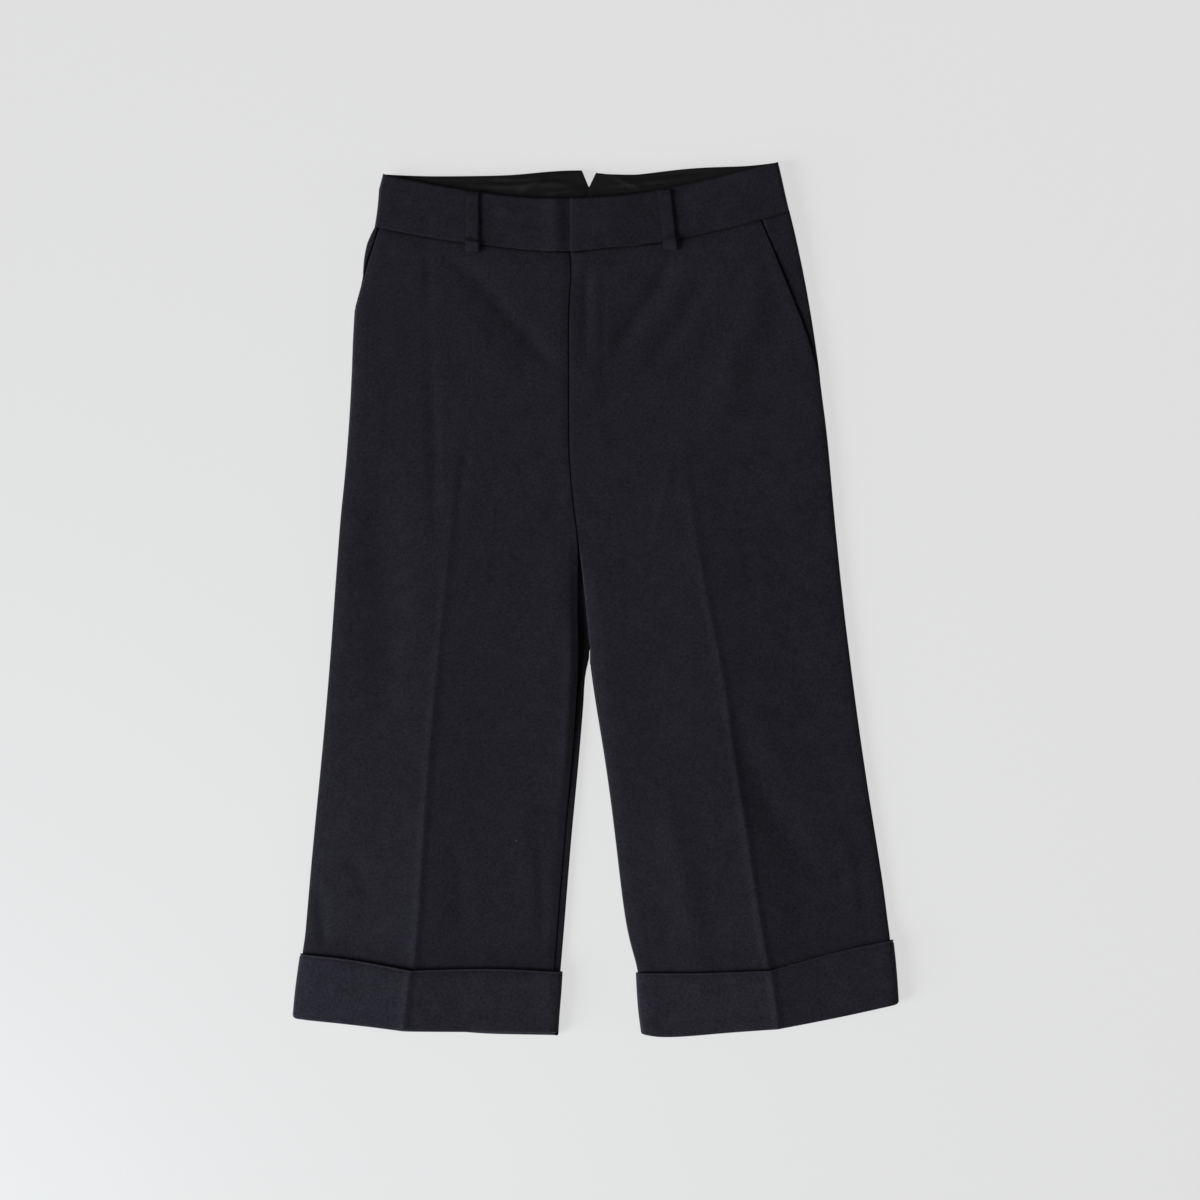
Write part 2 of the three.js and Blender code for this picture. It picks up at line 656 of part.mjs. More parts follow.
function frontPanel(side) {
  const points = rowsBetween({
    upper: (x) => waistSeam(x) - SEAM_GAP / 2,
    lower: (x) => side.hemEdge.front(x) + PANEL_END,
    steps: FRONT_STEPS,
    stations: (meet, level) => frontStations(side, meet, level),
  });
  return clothWall(`front_${side.name}`, points, CLOTH, FLANNEL);
}

// The back panel's outer edge turns up to the side seam
function backOuterEdge(side, edge, level, height) {
  const y = level(edge);
  const rim = sideSeam(side, y) - SEAM_GAP / 2;
  return turnedEdge({
    edge,
    inwards: -side.outwards,
    inset: CLOTH / 2,
    radius: rim + SEAM_GAP / 2 - backMiddle(side, edge, y),
    rim,
    height,
  });
}

// The back panel's inner edge: flat at the centre seam, turned up to the inseam below the crotch
function backInnerEdge(side, edge, level, height) {
  const y = level(edge);
  const folded = smooth(BACK_CROTCH, BACK_CROTCH - FOLD_START, y);
  const seam = (frontMiddle(side, edge, y) + backMiddle(side, edge, y)) / 2;
  return turnedEdge({
    edge,
    inwards: side.outwards,
    inset: lerp(SEAM_GAP / 2, CLOTH / 2, folded),
    radius: seam - backMiddle(side, edge, y),
    rim: lerp(height(edge), seam - SEAM_GAP / 2, folded),
    height,
  });
}

// The same edge where the inseam lies on top: the back's cloth goes round the fold and ends at the front
// panel's edge. Above the crotch it lies flat, and there it first rises and then folds over.
function wrappedInnerEdge(side, edge, level, height, meet) {
  const y = level(edge);
  const risen = smooth(BACK_CROTCH, BACK_CROTCH - WRAP.risen, y);
  const foldedOver = smooth(BACK_CROTCH - WRAP.foldsFrom, BACK_CROTCH - WRAP.foldsTo, y);
  const bottom = height(edge);
  const rimX = meet(side.frontInner) + SEAM_GAP / 2;
  const top = frontMiddle(side, rimX, y) - inseamRoll(y);
  const foldTop = Math.max(top - OVER_INSEAM, bottom + LAYER);
  const seam = (bottom + foldTop) / 2;
  const radius = seam - bottom;
  const turn = (angle, to) => ({
    x: edge + side.outwards * (CLOTH / 2 + radius * (1 - Math.cos(angle))),
    z: lerp(seam, to, Math.sin(angle)),
  });
  const folded = [
    { x: rimX, z: top },
    ...[...QUARTER].reverse().map((angle) => turn(angle, foldTop)),
    ...QUARTER.slice(1).map((angle) => turn(angle, bottom)),
  ];
  return folded.map((place, i) => {
    const flat = edge + side.outwards * (SEAM_GAP / 2 + i * WRAP_STEP);
    return {
      x: lerp(flat, place.x, foldedOver),
      z: lerp(bottom, place.z, risen),
    };
  });
}

function backStations(side, meet, level) {
  const height = (x) => backMiddle(side, x, level(x));
  const outer = backOuterEdge(side, meet(side.outline), level, height);
  const edge = meet(side.backInner);
  const inner = side.inseamOnTop
    ? wrappedInnerEdge(side, edge, level, height, meet)
    : backInnerEdge(side, edge, level, height);
  const shares = [0.12, 0.3, 0.5, 0.7, 0.88];
  const middle = between(outer[outer.length - 1].x, inner[inner.length - 1].x, shares, height);
  return [...outer, ...middle, ...inner.reverse()];
}

function backPanel(side) {
  const points = rowsBetween({
    upper: (x) => backSeam(x) - SEAM_GAP / 2,
    lower: (x) => side.hemEdge.front(x) + PANEL_END,
    steps: BACK_STEPS,
    stations: (meet, level) => backStations(side, meet, level),
  });
  return clothWall(`back_${side.name}`, points, CLOTH, FLANNEL);
}

// Waistband

const BAND_STEPS = [0, 0.3, 0.65, 1];
const BAND_SHARES = [0.08, 0.2, 0.35, 0.5, 0.65, 0.8, 0.92];
const BAND_SIDE_SEAM = (FRONT_BAND_MIDDLE + BACK_BAND_MIDDLE) / 2;
const BAND_TURN = FRONT_BAND_MIDDLE - BAND_SIDE_SEAM;

// The front waistband's height: the right end dips under the left one, which rides over it
function frontBandHeight(side, x) {
  const fromCentre = x - CENTRE_FRONT[0].x;
  if (side === RIGHT) {
    const dip = smooth(UNDERLAP_DIP.from, UNDERLAP_DIP.to, -fromCentre);
    return lerp(FRONT_BAND_MIDDLE, UNDERLAP_MIDDLE, dip);
  }
  const fall = smooth(OVERLAP_FALL.from, OVERLAP_FALL.to, fromCentre - UNDERLAP_LENGTH);
  return lerp(OVERLAP_MIDDLE, FRONT_BAND_MIDDLE, fall);
}

function bandStations(side, meet, height, seamSign, end) {
  const outer = turnedEdge({
    edge: meet(side.bandEdge),
    inwards: -side.outwards,
    inset: BAND / 2,
    radius: BAND_TURN,
    rim: BAND_SIDE_SEAM + (seamSign * SEAM_GAP) / 2,
    height,
  });
  return [...outer, ...between(outer[outer.length - 1].x, end, [...BAND_SHARES, 1], height)];
}

function frontBand(side) {
  const lapped = side === RIGHT ? UNDERLAP_LENGTH : SEAM_GAP / 2;
  const height = (x) => frontBandHeight(side, x);
  const points = rowsBetween({
    upper: frontTop,
    lower: (x) => waistSeam(x) + SEAM_GAP / 2,
    steps: BAND_STEPS,
    stations: (meet) => bandStations(side, meet, height, 1, meet(centreFront) + lapped),
  });
  return clothWall(`waistband_front_${side.name}`, points, BAND, FLANNEL);
}

// The centre back edge of one side, with its half of the notch
function notchedCentre(side) {
  return (y) => {
    const open = Math.max((y - NOTCH.bottom) / NOTCH.depth, 0);
    return centreBack(Math.min(y, NOTCH.bottom)) + side.outwards * (SEAM_GAP / 2) + side.notch * open;
  };
}

function backBand(side) {
  const height = () => BACK_BAND_MIDDLE;
  const points = rowsBetween({
    upper: backTop,
    lower: (x) => backSeam(x) + SEAM_GAP / 2,
    steps: BAND_STEPS,
    stations: (meet) => bandStations(side, meet, height, -1, meet(notchedCentre(side))),
  });
  return clothWall(`waistband_back_${side.name}`, points, BAND, FLANNEL);
}

function bandFacing(side) {
  const points = rowsBetween({
    upper: (x) => backTop(x) - FACING_INSET.top,
    lower: (x) => backSeam(x) + FACING_INSET.seam,
    steps: BAND_STEPS,
    stations: (meet) => {
      const outer = meet(side.bandEdge) - side.outwards * FACING_INSET.side;
      return between(outer, meet(notchedCentre(side)), [0, 0.25, 0.5, 0.75, 1], () => FACING_MIDDLE);
    },
  });
  return clothWall(`waistband_lining_${side.name}`, points, FACING, LINING);
}

// Belt loops

function frontLoop(side) {
  const ends = { top: FRONT_BAND_MIDDLE + BAND / 2, bottom: loft(WAIST_SEAM[3].y) + CLOTH };
  const { top, bottom } = side.loop;
  const from = frontTop(top) - LOOP_INSET.front;
  const to = waistSeam(bottom) - LOOP_BELOW_SEAM;
  const points = [0, 0.05, 0.12, 0.25, 0.5, 0.75, 0.88, 0.95, 1].map((share) => {
    const under = lerp(ends.top, ends.bottom, smooth(LOOP_DROP.from, LOOP_DROP.to, share));
    const base = under + LOOP_CLEARANCE + CLOTH / 2;
    const slack = LOOP_RISE * smooth(0, LOOP_ARCH.up, share) * smooth(1, LOOP_ARCH.down, share);
    const y = lerp(from, to, share);
    const middle = lerp(top, bottom, share);
    return [-0.5, 0, 0.5].map((half) => new THREE.Vector3(middle + half * LOOP_WIDTH, y, base + slack));
  });
  return clothWall(`belt_loop_front_${side.name}`, points, CLOTH, FLANNEL);
}

function backLoop(side) {
  const from = backTop(side.backLoop) - LOOP_INSET.back;
  const to = backSeam(side.backLoop) - LOOP_BELOW_SEAM;
  const points = [0, 0.5, 1].map((share) =>
    [-0.5, 0.5].map(
      (half) => new THREE.Vector3(side.backLoop + half * LOOP_WIDTH, lerp(from, to, share), CLOTH / 2),
    ),
  );
  return clothWall(`belt_loop_back_${side.name}`, points, CLOTH, FLANNEL);
}

// Pocket bearer: the cloth seen inside the slanted pocket, one layer below the front
function pocketBearer(side) {
  const points = rowsBetween({
    upper: (x) => waistSeam(x) - SEAM_GAP / 2,
    lower: () => side.pocketEnd + BEARER_ABOVE,
    steps: [0, 0.12, 0.3, 0.5, 0.7, 0.88, 1],
    stations: (meet, level) => {
      const height = (x) => frontMiddle(side, x, level(x)) - LAYER;
      const edge = meet(side.outline);
      const y = level(edge);
      const outer = turnedEdge({
        edge,
        inwards: -side.outwards,
        inset: CLOTH / 2,
        radius: sideSeam(side, y) - backMiddle(side, edge, y),
        rim: sideSeam(side, y) + SEAM_GAP,
        height,
      });
      const inner = meet(side.slitEdge) - side.outwards * POCKET_UNDERLAP;
      return [...outer, ...between(outer[outer.length - 1].x, inner, [0.35, 0.7, 1], height)];
    },
  });
  return clothWall(`pocket_bearer_${side.name}`, points, CLOTH, FLANNEL);
}

// Fly shield: the strip behind the fly's opening
function flyShield() {
  const below = LAYER + SHIELD.deeper;
  const points = rowsBetween({
    upper: (x) => waistSeam(x) - FACING_INSET.top,
    lower: () => FLY_END,
    steps: [0, 0.2, 0.4, 0.6, 0.8, 1],
    stations: (meet, level) => {
      const from = meet(centreFront) - SHIELD.under;
      return between(from, from + FLY_SHIELD_WIDTH, [0, 0.25, 0.5, 0.75, 1], (x) => {
        return loft(level(x)) + CLOTH / 2 + Math.min(relief(RIGHT, x, level(x)), 0) - below;
      });
    },
  });
  return clothWall("fly_shield", points, CLOTH, FLANNEL);
}

// Turn-ups

const CUFF_STEPS = [0, 0.05, 0.35, 0.7, 1];
const HEM_TURN = [30, 60, 90, 120, 150, 180].map(degToRad);

// The stations of a turn-up's outer layer, as many as its leg's panel has
function cuffStations(side, face, meet, level) {
  const front = face === "front";
  const height = (x) => (front ? cuffMiddle(side, x, level(x)) : CLOTH / 2);
  const turned = (edge, inwards) => {
    const middle = (CLOTH / 2 + cuffMiddle(side, edge, level(edge))) / 2;
    return turnedEdge({
      edge,
      inwards,
      inset: CLOTH / 2,
      radius: middle - CLOTH / 2,
      rim: middle + (front ? 1 : -1) * CUFF_SEAM_HALF,
      height,
    });
  };
  return creasedStations({
    outer: turned(meet(side.cuffOuter), -side.outwards),
    inner: turned(meet(side.cuffInner), side.outwards),
    crease: meet(side.cuffCrease),
    height,
    outwards: side.outwards,
  });
}

// The stations of the layer inside a turn-up, at the hem, where the turn-up's fold ends
function insideStations(side, face, meet, level) {
  if (face === "front") return frontStations(side, meet, level);
  const height = (x) => backMiddle(side, x, level(x));
  return creasedStations({
    outer: backOuterEdge(side, meet(side.outline), level, height),
    inner: backInnerEdge(side, meet(side.backInner), level, height),
    crease: meet(side.crease),
    height,
    outwards: side.outwards,
  });
}

function turnUp(side, face) {
  const hem = side.hemEdge[face];
  const edges = { upper: side.cuffEdge, lower: (x) => side.hemEdge.front(x) + LIP_END };
  const outside = rowsBetween({
    ...edges,
    steps: CUFF_STEPS,
    stations: (meet, level) => cuffStations(side, face, meet, level),
  });
  const [inside] = rowsBetween({
    ...edges,
    steps: [1],
    stations: (meet, level) => insideStations(side, face, meet, level),
  });
  const last = outside.pop();
  const radius = last.map((point, j) => {
    const apart = Math.hypot(point.x - inside[j].x, point.z - inside[j].z);
    return clamp(apart / 2, LAYER / 2, CUFF_FOLD);
  });
  const start = last.map((point, j) => point.clone().setY(hem(point.x) + CLOTH / 2 + radius[j]));
  const fold = HEM_TURN.map((angle) =>
    start.map((point, j) => {
      const turned = (1 - Math.cos(angle)) / 2;
      return new THREE.Vector3(
        lerp(point.x, inside[j].x, turned),
        point.y - radius[j] * Math.sin(angle),
        lerp(point.z, inside[j].z, turned),
      );
    }),
  );
  return clothWall(`turn_up_${face}_${side.name}`, [...outside, start, ...fold, inside], CLOTH, FLANNEL);
}

const trousers = new THREE.Group();
trousers.name = "flannel_trousers";
for (const side of SIDES) {
  trousers.add(frontPanel(side), backPanel(side), frontBand(side), backBand(side), bandFacing(side));
  trousers.add(frontLoop(side), backLoop(side), pocketBearer(side));
  trousers.add(turnUp(side, "front"), turnUp(side, "back"));
}
trousers.add(flyShield());

export default trousers;
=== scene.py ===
# Cropped wide-leg flannel trousers with turn-ups, laid out flat with the front up.
# +X runs to the wearer's left, +Y to the waist and +Z up from the floor. Lengths are in metres, and the
# tables of folds and curves are in millimetres.
import math
from collections import namedtuple

import bpy
import numpy as np
from mathutils import Matrix, Vector
from mathutils.bvhtree import BVHTree
from mathutils.kdtree import KDTree


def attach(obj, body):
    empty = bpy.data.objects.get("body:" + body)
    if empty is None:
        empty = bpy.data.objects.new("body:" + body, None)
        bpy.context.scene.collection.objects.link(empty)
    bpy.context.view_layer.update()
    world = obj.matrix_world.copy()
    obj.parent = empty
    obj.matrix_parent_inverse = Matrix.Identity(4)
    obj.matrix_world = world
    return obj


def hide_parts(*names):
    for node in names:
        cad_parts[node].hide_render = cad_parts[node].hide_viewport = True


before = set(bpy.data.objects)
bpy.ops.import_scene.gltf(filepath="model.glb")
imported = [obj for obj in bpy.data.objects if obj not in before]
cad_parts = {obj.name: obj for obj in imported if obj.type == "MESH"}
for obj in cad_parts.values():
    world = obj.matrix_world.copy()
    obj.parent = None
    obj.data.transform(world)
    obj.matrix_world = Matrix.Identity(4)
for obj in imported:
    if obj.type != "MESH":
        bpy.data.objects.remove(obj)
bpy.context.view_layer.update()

bl_info = {
    "name": "Flannel trousers",
    "version": (1, 0, 0),
    "blender": (4, 5, 0),
    "location": "3D View > Sidebar > Trousers",
    "description": "Models cropped flannel trousers with turn-ups on their packed solids",
    "category": "Object",
}

MM = 0.001
BODY = "root"
SAME_POINT = 1e-6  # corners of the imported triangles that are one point
NO_LENGTH = 1e-9  # keeps a sum of normals that cancel out from being divided by 0
RIM_ANGLE = math.radians(55)  # the cloth's cut edges are sharper than this
CORNER_ANGLE = math.radians(8)  # an edge that turns by more than this has a corner there
SMOOTH_ANGLE = math.radians(60)  # faces that meet at less are shaded as one
UPRIGHT = 0.5  # an edge that goes less far across is an upright one, mm
ON_CREASE = 1.2  # from a crease's path to the points on it, mm
THICKEST = 2.8  # no cloth is thicker, mm
RIM_DRAW = 0.65  # the share of the cloth's thickness that its cut edges lose
RIM_SHARE = 0.95  # the share of a wall's points that lie within half its height of its edges
CLOTH = 1.5  # one layer of flannel, mm
CLEARANCE = 0.15  # between two layers that fold together, mm
FOLD_ENDS = 0.35  # the share of its length in which a fold rises at each end
SIDES = ("right", "left")

Fold = namedtuple("Fold", "name path wide high")

# The pressed creases of the front, from the top down
LEG_CREASES = {
    "right": ((-116, 335), (-120, 250), (-124.3, 144), (-131.6, 48), (-136.3, 0), (-141.2, -47), (-150, -145),
              (-155.3, -217), (-159.8, -289), (-163.4, -334), (-169, -392)),
    "left": ((65, 350), (69.6, 252), (75.8, 144), (86, 86), (92, 48), (100.4, 0), (110.6, -47), (117.7, -90),
             (128, -162), (132.8, -191), (142, -252), (148, -289), (156.2, -336), (163.6, -392)),
}
TURN_UP_CREASES = {
    "right": ((-164.6, -315), (-166.5, -335), (-169.4, -357), (-171.3, -373), (-173.4, -392)),
    "left": ((154, -300), (156, -324), (159, -346), (161, -360), (163.3, -378), (165, -392)),
}
# The broad flanks of each crease: their height and how far they reach to the side and to the inseam
CREASE_FLANKS = {
    "right": ((150, 0, 60, 40), (40, 0.9, 70, 60), (-40, 1.9, 78, 76), (-180, 3.6, 88, 100), (-400, 4.8, 96, 116)),
    "left": ((150, 0, 60, 40), (60, 0.9, 60, 60), (-60, 2.0, 70, 84), (-220, 3.4, 92, 100), (-400, 4.2, 96, 104)),
}
# The legs' outlines and the front's inseams, where the cloth rounds off to its folds
OUTLINES = {
    "right": ((-191, 383), (-199, 335), (-205, 322), (-209, 305), (-210, 281), (-215.4, 268), (-218.4, 250),
              (-222.8, 144), (-230, 72), (-235.4, 0), (-242.2, -90), (-247.1, -145), (-254.3, -217),
              (-260.6, -289), (-264.5, -330), (-271, -392)),
    "left": ((164, 394), (174.6, 350), (181.4, 322), (188.6, 288), (194.9, 252), (200.3, 215), (209.3, 144),
             (214.2, 86), (222.8, 0), (228.6, -47), (238.9, -126), (248.7, -191), (258.6, -252), (265.4, -306),
             (269, -336), (271, -392)),
}
INSEAMS = {
    "right": ((-15, 60), (-16.2, 0), (-15.4, -47), (-17.2, -90), (-21.4, -145), (-28, -217), (-33.8, -289),
              (-36, -334), (-36, -392)),
    "left": ((-15, 60), (-9.5, 0), (-4.9, -47), (-0.5, -90), (5.9, -126), (11.3, -162), (15.1, -191), (22.1, -252),
             (26.8, -289), (38.4, -336), (42, -392)),
}
# The front's rounding inside those edges: how wide it is, and which share of its height is lost there
FULLNESS = {"high": 1.0, "outer": {"right": (15, 1), "left": (6, 0.3)}, "inner": {"right": (6, 0.3), "left": (15, 1)}}
SEAM_DIP = {"high": -0.8, "wide": 9}  # the front sinks into the waist seam
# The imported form's crease is broad: it is lowered by a share and gets a narrow ridge
CREASE_LOWERED = {"share": 0.6, "reach": 34, "bend": 1.7}
CREASE_RISE = ((170, 0), (60, 0.9), (-60, 2), (-305, 2.6), (-400, 2.6))
NARROW_RIDGE = {"high": 0.8, "reach": 6}
POCKETS = {
    "right": ((-194.3, 335), (-197.6, 323), (-204, 306), (-206.6, 296), (-210.2, 281)),
    "left": ((148, 342), (161.6, 310), (177, 271), (192, 235), (200.6, 203), (203, 193)),
}
BEARER_SWELL = 1.6  # how far a pocket bearer rises past the pocket's edge
POCKET_EDGE = {"wide": 7, "high": -0.6}  # the left front lies down on its pocket
SEWN = 0.005  # from a seam to the cloth on either side
CENTRE_BACK = ((-5, -47), (-5.9, 372))
SEAM_REACH = {"centre": 0.5, "waist": 0.3}  # cloth this near to a seam's line is drawn to it
BACK_SEAM = ((-199, 335.3), (-6, 338), (175, 349.7))
WAIST_SEAM = ((-199, 335.3), (-168, 329), (-134, 323.5), (-102, 319), (-54, 314), (-23, 312.8), (15, 317),
              (54, 320), (76, 324.5), (123, 335), (148, 341.2), (175, 349.7))
CENTRE_FRONT = ((-23, 362), (-23, 313), (-20.5, 306), (-21.6, 290), (-23.9, 278), (-23.9, 144), (-21.2, 96),
                (-17.6, 71), (-15, 48))
# How the left front rises from its edge: on the fly, and on the waistband's overlap
FLY_EDGE = {"wide": 2.5, "long": 16, "high": 0.6}
OVERLAP_EDGE = {"wide": 3, "long": 24, "high": 0.4}
PAINTED_SEAM_SHADE = {"deep": 0.85, "reach": 1.0}  # how dark the painted shade at a seam is, and how far from the seam it reaches
# The front waistband's upper edge, where the lining is pressed flat
BAND_TOP = ((-191, 382), (-102, 366), (-23, 361), (54, 368), (117, 381), (164, 393))
# The front's underside above the floor
LOFT = ((-400, 2.6), (-335, 2.6), (-150, 2.9), (-60, 3.2), (48, 3.4), (130, 4), (200, 4.5), (281, 5),
        (325, 6.4), (360, 6.6))
# From which place to which a share grows from 0 to 1
RAMPS = {
    "down from the crotch": (30, -30),
    "up the fly's edge": (50, 90),
    "up the pocket's edge": (195, 245),
    "down the pocket's edge": (345, 300),
    "bearer past the pocket": (0.2, 2.2),
    "loop below the waist seam": (5, 0.5),
    "lining above the waistband": (-3, 4),
    "down the pressed crease": (170, 40),
    # Where shade is painted: at the waist seam, along the centre front and in the gap between the legs
    "near the waist seam": (4, 2),
    "near the centre front": (2.5, 1.5),
    "up the centre front": (45, 60),
    "down the centre front": (360, 355),
    "past the right inseam": (-3, 1),
    "past the left inseam": (1, -2),
    "up the gap": (-140, -90),
    "down the gap": (10, -30),
}

# Soft folds of the front, as ridges or troughs along a path, in millimetres
FRONT_FOLDS = (
    Fold("drag below the right loop", ((-160, 330), (-112, 294), (-80, 258), (-48, 222), (-10, 180)), 8, -1.0),
    Fold("swell under that drag", ((-128, 268), (-104, 236), (-74, 190)), 13, 0.5),
    Fold("short drag beside it", ((-152, 326), (-150, 296), (-149, 250)), 5, -0.6),
    Fold("hollow above the right crease", ((-149, 276), (-148, 205), (-144, 120), (-147, 20)), 6, -0.8),
    Fold("hollow inside the right crease", ((-112, 170), (-118, 120), (-126, 50)), 5, -0.5),
    Fold("hollow along the right side", ((-194, 170), (-191, 60), (-187, -36), (-194, -150)), 19, -1.8),
    Fold("drag from the front crotch", ((-22, 112), (-36, 90), (-47, 62)), 9, -1.0),
    Fold("fullness at the right inseam", ((-21, 10), (-20, -40), (-22, -110), (-30, -200)), 7, 1.4),
    Fold("hollow at the right leg's side", ((-250, -250), (-246, -290), (-243, -322)), 6, -0.9),
    Fold("short hollow inside it", ((-222, -226), (-212, -250), (-198, -276)), 8, -0.6),
    Fold("hollow past the right crease", ((-130, -190), (-122, -250), (-117, -318)), 9, -0.5),
    Fold("swell of the right leg", ((-66, -150), (-58, -240), (-60, -322)), 14, 0.8),
    Fold("hollow beside the inseam", ((-50, -200), (-48, -260), (-46, -322)), 5, -0.5),
    Fold("drag below the left loop", ((76, 330), (62, 290), (36, 252), (4, 206)), 7, -1.6),
    Fold("second drag below the left loop", ((112, 312), (90, 268), (62, 228), (30, 190)), 8, -1.6),
    Fold("swell between these drags", ((88, 312), (72, 272), (44, 234), (18, 198)), 8, 0.4),
    Fold("swell from the left pocket", ((158, 320), (142, 258), (120, 200), (100, 140)), 14, 2.0),
    Fold("light ridge above the left crease", ((70, 130), (61, 92), (52, 50)), 5, 0.6),
    Fold("hollow beside the fly's edge", ((-8, 311), (-8, 270), (-10, 214)), 4, -0.6),
    Fold("swell inside the fly's stitches", ((0.5, 311), (0.5, 260), (0, 206)), 3.4, 0.2),
    Fold("groove of the fly's stitches", ((6.8, 311), (6.8, 212), (7.2, 196), (1.5, 180), (-14, 164)), 2.4, -0.3),
    Fold("second fold of the left leg", ((54, -150), (78, -236), (87, -280), (97, -360)), 11, 0.9),
    Fold("hollow past the left crease", ((118, -80), (142, -160), (176, -222), (214, -256)), 15, -1.5),
    Fold("swell at the left leg's side", ((222, -205), (231, -250), (236, -300)), 7, 0.7),
    Fold("dip of the left leg", ((40, -40), (52, -100), (58, -150)), 16, -0.5),
)
# Small unevenness of the waistband's front
BAND_FOLDS = (
    Fold("ridge before the overlap", ((-37, 390), (-36, 340), (-36, 290)), 8, 1.4),
    Fold("ripple past the right loop", ((-98, 352), (-74, 349), (-46, 351)), 4, 0.35),
    Fold("low ripple past the right loop", ((-96, 334), (-78, 332), (-56, 333)), 4, 0.3),
    Fold("ripple past the overlap", ((-8, 344), (14, 341), (40, 345)), 5, 0.4),
    Fold("ripple past the left loop", ((80, 352), (98, 357), (122, 366)), 5, 0.4),
    Fold("ripple at the right side", ((-184, 366), (-160, 358), (-128, 355)), 5, 0.3),
)
# Wrinkles of the lining inside the back waistband
LINING_FOLDS = (
    Fold("long wrinkle on the right", ((-120, 374), (-84, 371), (-44, 376), (-9, 372)), 2.6, 1.7),
    Fold("upper wrinkle on the right", ((-100, 379), (-64, 378), (-30, 382)), 2, 1.1),
    Fold("steep wrinkle on the right", ((-72, 366), (-56, 372), (-44, 381)), 2.4, 1.3),
    Fold("wrinkle to the notch on the right", ((-48, 364), (-26, 368), (-8, 371)), 2.4, 1.5),
    Fold("long wrinkle on the left", ((-2, 371), (26, 373), (62, 377), (104, 384)), 2.6, 1.7),
    Fold("lower wrinkle on the left", ((4, 366), (34, 368), (66, 373)), 2.2, 1.3),
    Fold("steep wrinkle on the left", ((16, 382), (28, 375), (46, 369)), 2.2, 1.1),
    Fold("upper wrinkle on the left", ((48, 384), (84, 387), (120, 389)), 2, 0.9),
)
# Soft folds of the back, which show from below: they rise from the floor
BACK_FOLDS = (
    Fold("drag from the back crotch to the right", ((-10, -30), (-44, -60), (-90, -110)), 12, 0.9),
    Fold("drag from the back crotch to the left", ((4, -30), (36, -70), (70, -130)), 12, 0.8),
    Fold("hollow under the right seat", ((-170, 60), (-110, 40), (-50, 30)), 16, 1.1),
    Fold("hollow under the left seat", ((50, 34), (110, 46), (165, 70)), 16, 1.0),
    Fold("drag below the right back loop", ((-84, 318), (-96, 250), (-100, 180)), 12, 1.4),
    Fold("drag below the left back loop", ((72, 322), (80, 250), (76, 190)), 12, 1.3),
    Fold("long hollow of the right leg", ((-190, -60), (-200, -180), (-206, -300)), 12, 0.7),
    Fold("long hollow of the left leg", ((190, -40), (205, -180), (214, -290)), 12, 0.7),
    Fold("hollow of the right shin", ((-90, -140), (-92, -230), (-88, -310)), 10, 0.6),
    Fold("hollow of the left shin", ((80, -150), (92, -230), (100, -310)), 10, 0.6),
)

# The line of stitches that holds the fly's facing
FLY_STITCHING = ((6.8, 303), (6.8, 212), (7.4, 203), (7.2, 196), (5.6, 188), (1.5, 180), (-4, 172), (-10.9, 165.5),
                 (-16.5, 162.5))
BAR_TACKS = {"belt_loop_front_right": (-111, 363.2), "belt_loop_front_left": (61.9, 364.4)}
BAR_TACK = {"wide": 10.6, "stitches": 15, "long": 1.7}
STITCH = {"sides": 8, "rings": 6, "flat": 0.8, "dip": 0.6, "bend": 3}
# How far the threads stand up from the cloth, as shares of their width, and how a bar tack's stitches run
THREAD_LIFT = {"fly": 0.1, "tack": 0.15}
TACK_THREAD = {"width": 0.9, "way": (0.12, 1, 0)}
# How much closer to the waistband a loop lies than in its solid, and where along it that begins and ends
LOOP_EASE = {"high": 1.9, "up": 0.2, "down": 0.84}
LOOP_END = {"corner": 2.2, "splay": 0.5, "long": 12, "row": 0.4}  # a belt loop's rounded, splayed lower end
# How wide edges round off, as multiples of the rounding in the panel
TURN_UP_ROUNDING, LOOP_ROUNDING, LINING_ROUNDING = 1.6, 3, 0.5
FLOOR = {"size": 12, "below": 0.0004}
KEY_LIGHT = {"angle": math.radians(30), "towards": (-0.92, -0.27, 0.3)}
FILL_LIGHT = {"angle": math.radians(20), "towards": (0.94, -0.2, 0.12)}
NEAR_LIGHT = {"place": (-1.0, -0.95, 0.45), "aim": (-0.15, -0.3, 0), "size": 0.6, "colour": (0.82, 0.94, 1.0)}
CAMERA = {"x": 0.00405, "y": -0.00045, "sensor": 36, "clip": (0.05, 20)}

# What each piece was cut from, on the right and on the left: width, length and area, in metres. It rests on the
# kinds of pieces named before them.
Cut = namedtuple("Cut", "width length area rests_on")
CUTS = {
    f"{kind}_{side}": Cut(*sizes, [f"{under}_{side}" for under in unders])
    for kind, unders, *both in (
        ("front", ("back", "turn_up_front"), (0.258, 0.724, 0.1507), (0.300, 0.734, 0.1603)),
        ("back", (), (0.276, 0.728, 0.1635), (0.278, 0.742, 0.1601)),
        ("waistband_front", ("waistband_lining",), (0.214, 0.060, 0.0098), (0.200, 0.060, 0.0090)),
        ("waistband_back", ("belt_loop_back",), (0.196, 0.056, 0.0087), (0.184, 0.060, 0.0077)),
        ("waistband_lining", ("waistband_back",), (0.188, 0.050, 0.0079), (0.176, 0.054, 0.0070)),
        ("belt_loop_front", ("waistband_front",), (0.0126, 0.058, 0.00072), (0.0126, 0.058, 0.00071)),
        ("belt_loop_back", (), (0.0126, 0.0535, 0.00067), (0.0126, 0.053, 0.000667)),
        ("pocket_bearer", ("back",), (0.030, 0.055, 0.00083), (0.070, 0.154, 0.0039)),
        ("turn_up_front", ("turn_up_back",), (0.246, 0.074, 0.0142), (0.240, 0.088, 0.0139)),
        ("turn_up_back", (), (0.246, 0.074, 0.0145), (0.240, 0.088, 0.0138)),
    )
    for side, sizes in zip(SIDES, both)
}
CUTS["waistband_front_left"].rests_on.append("waistband_front_right")
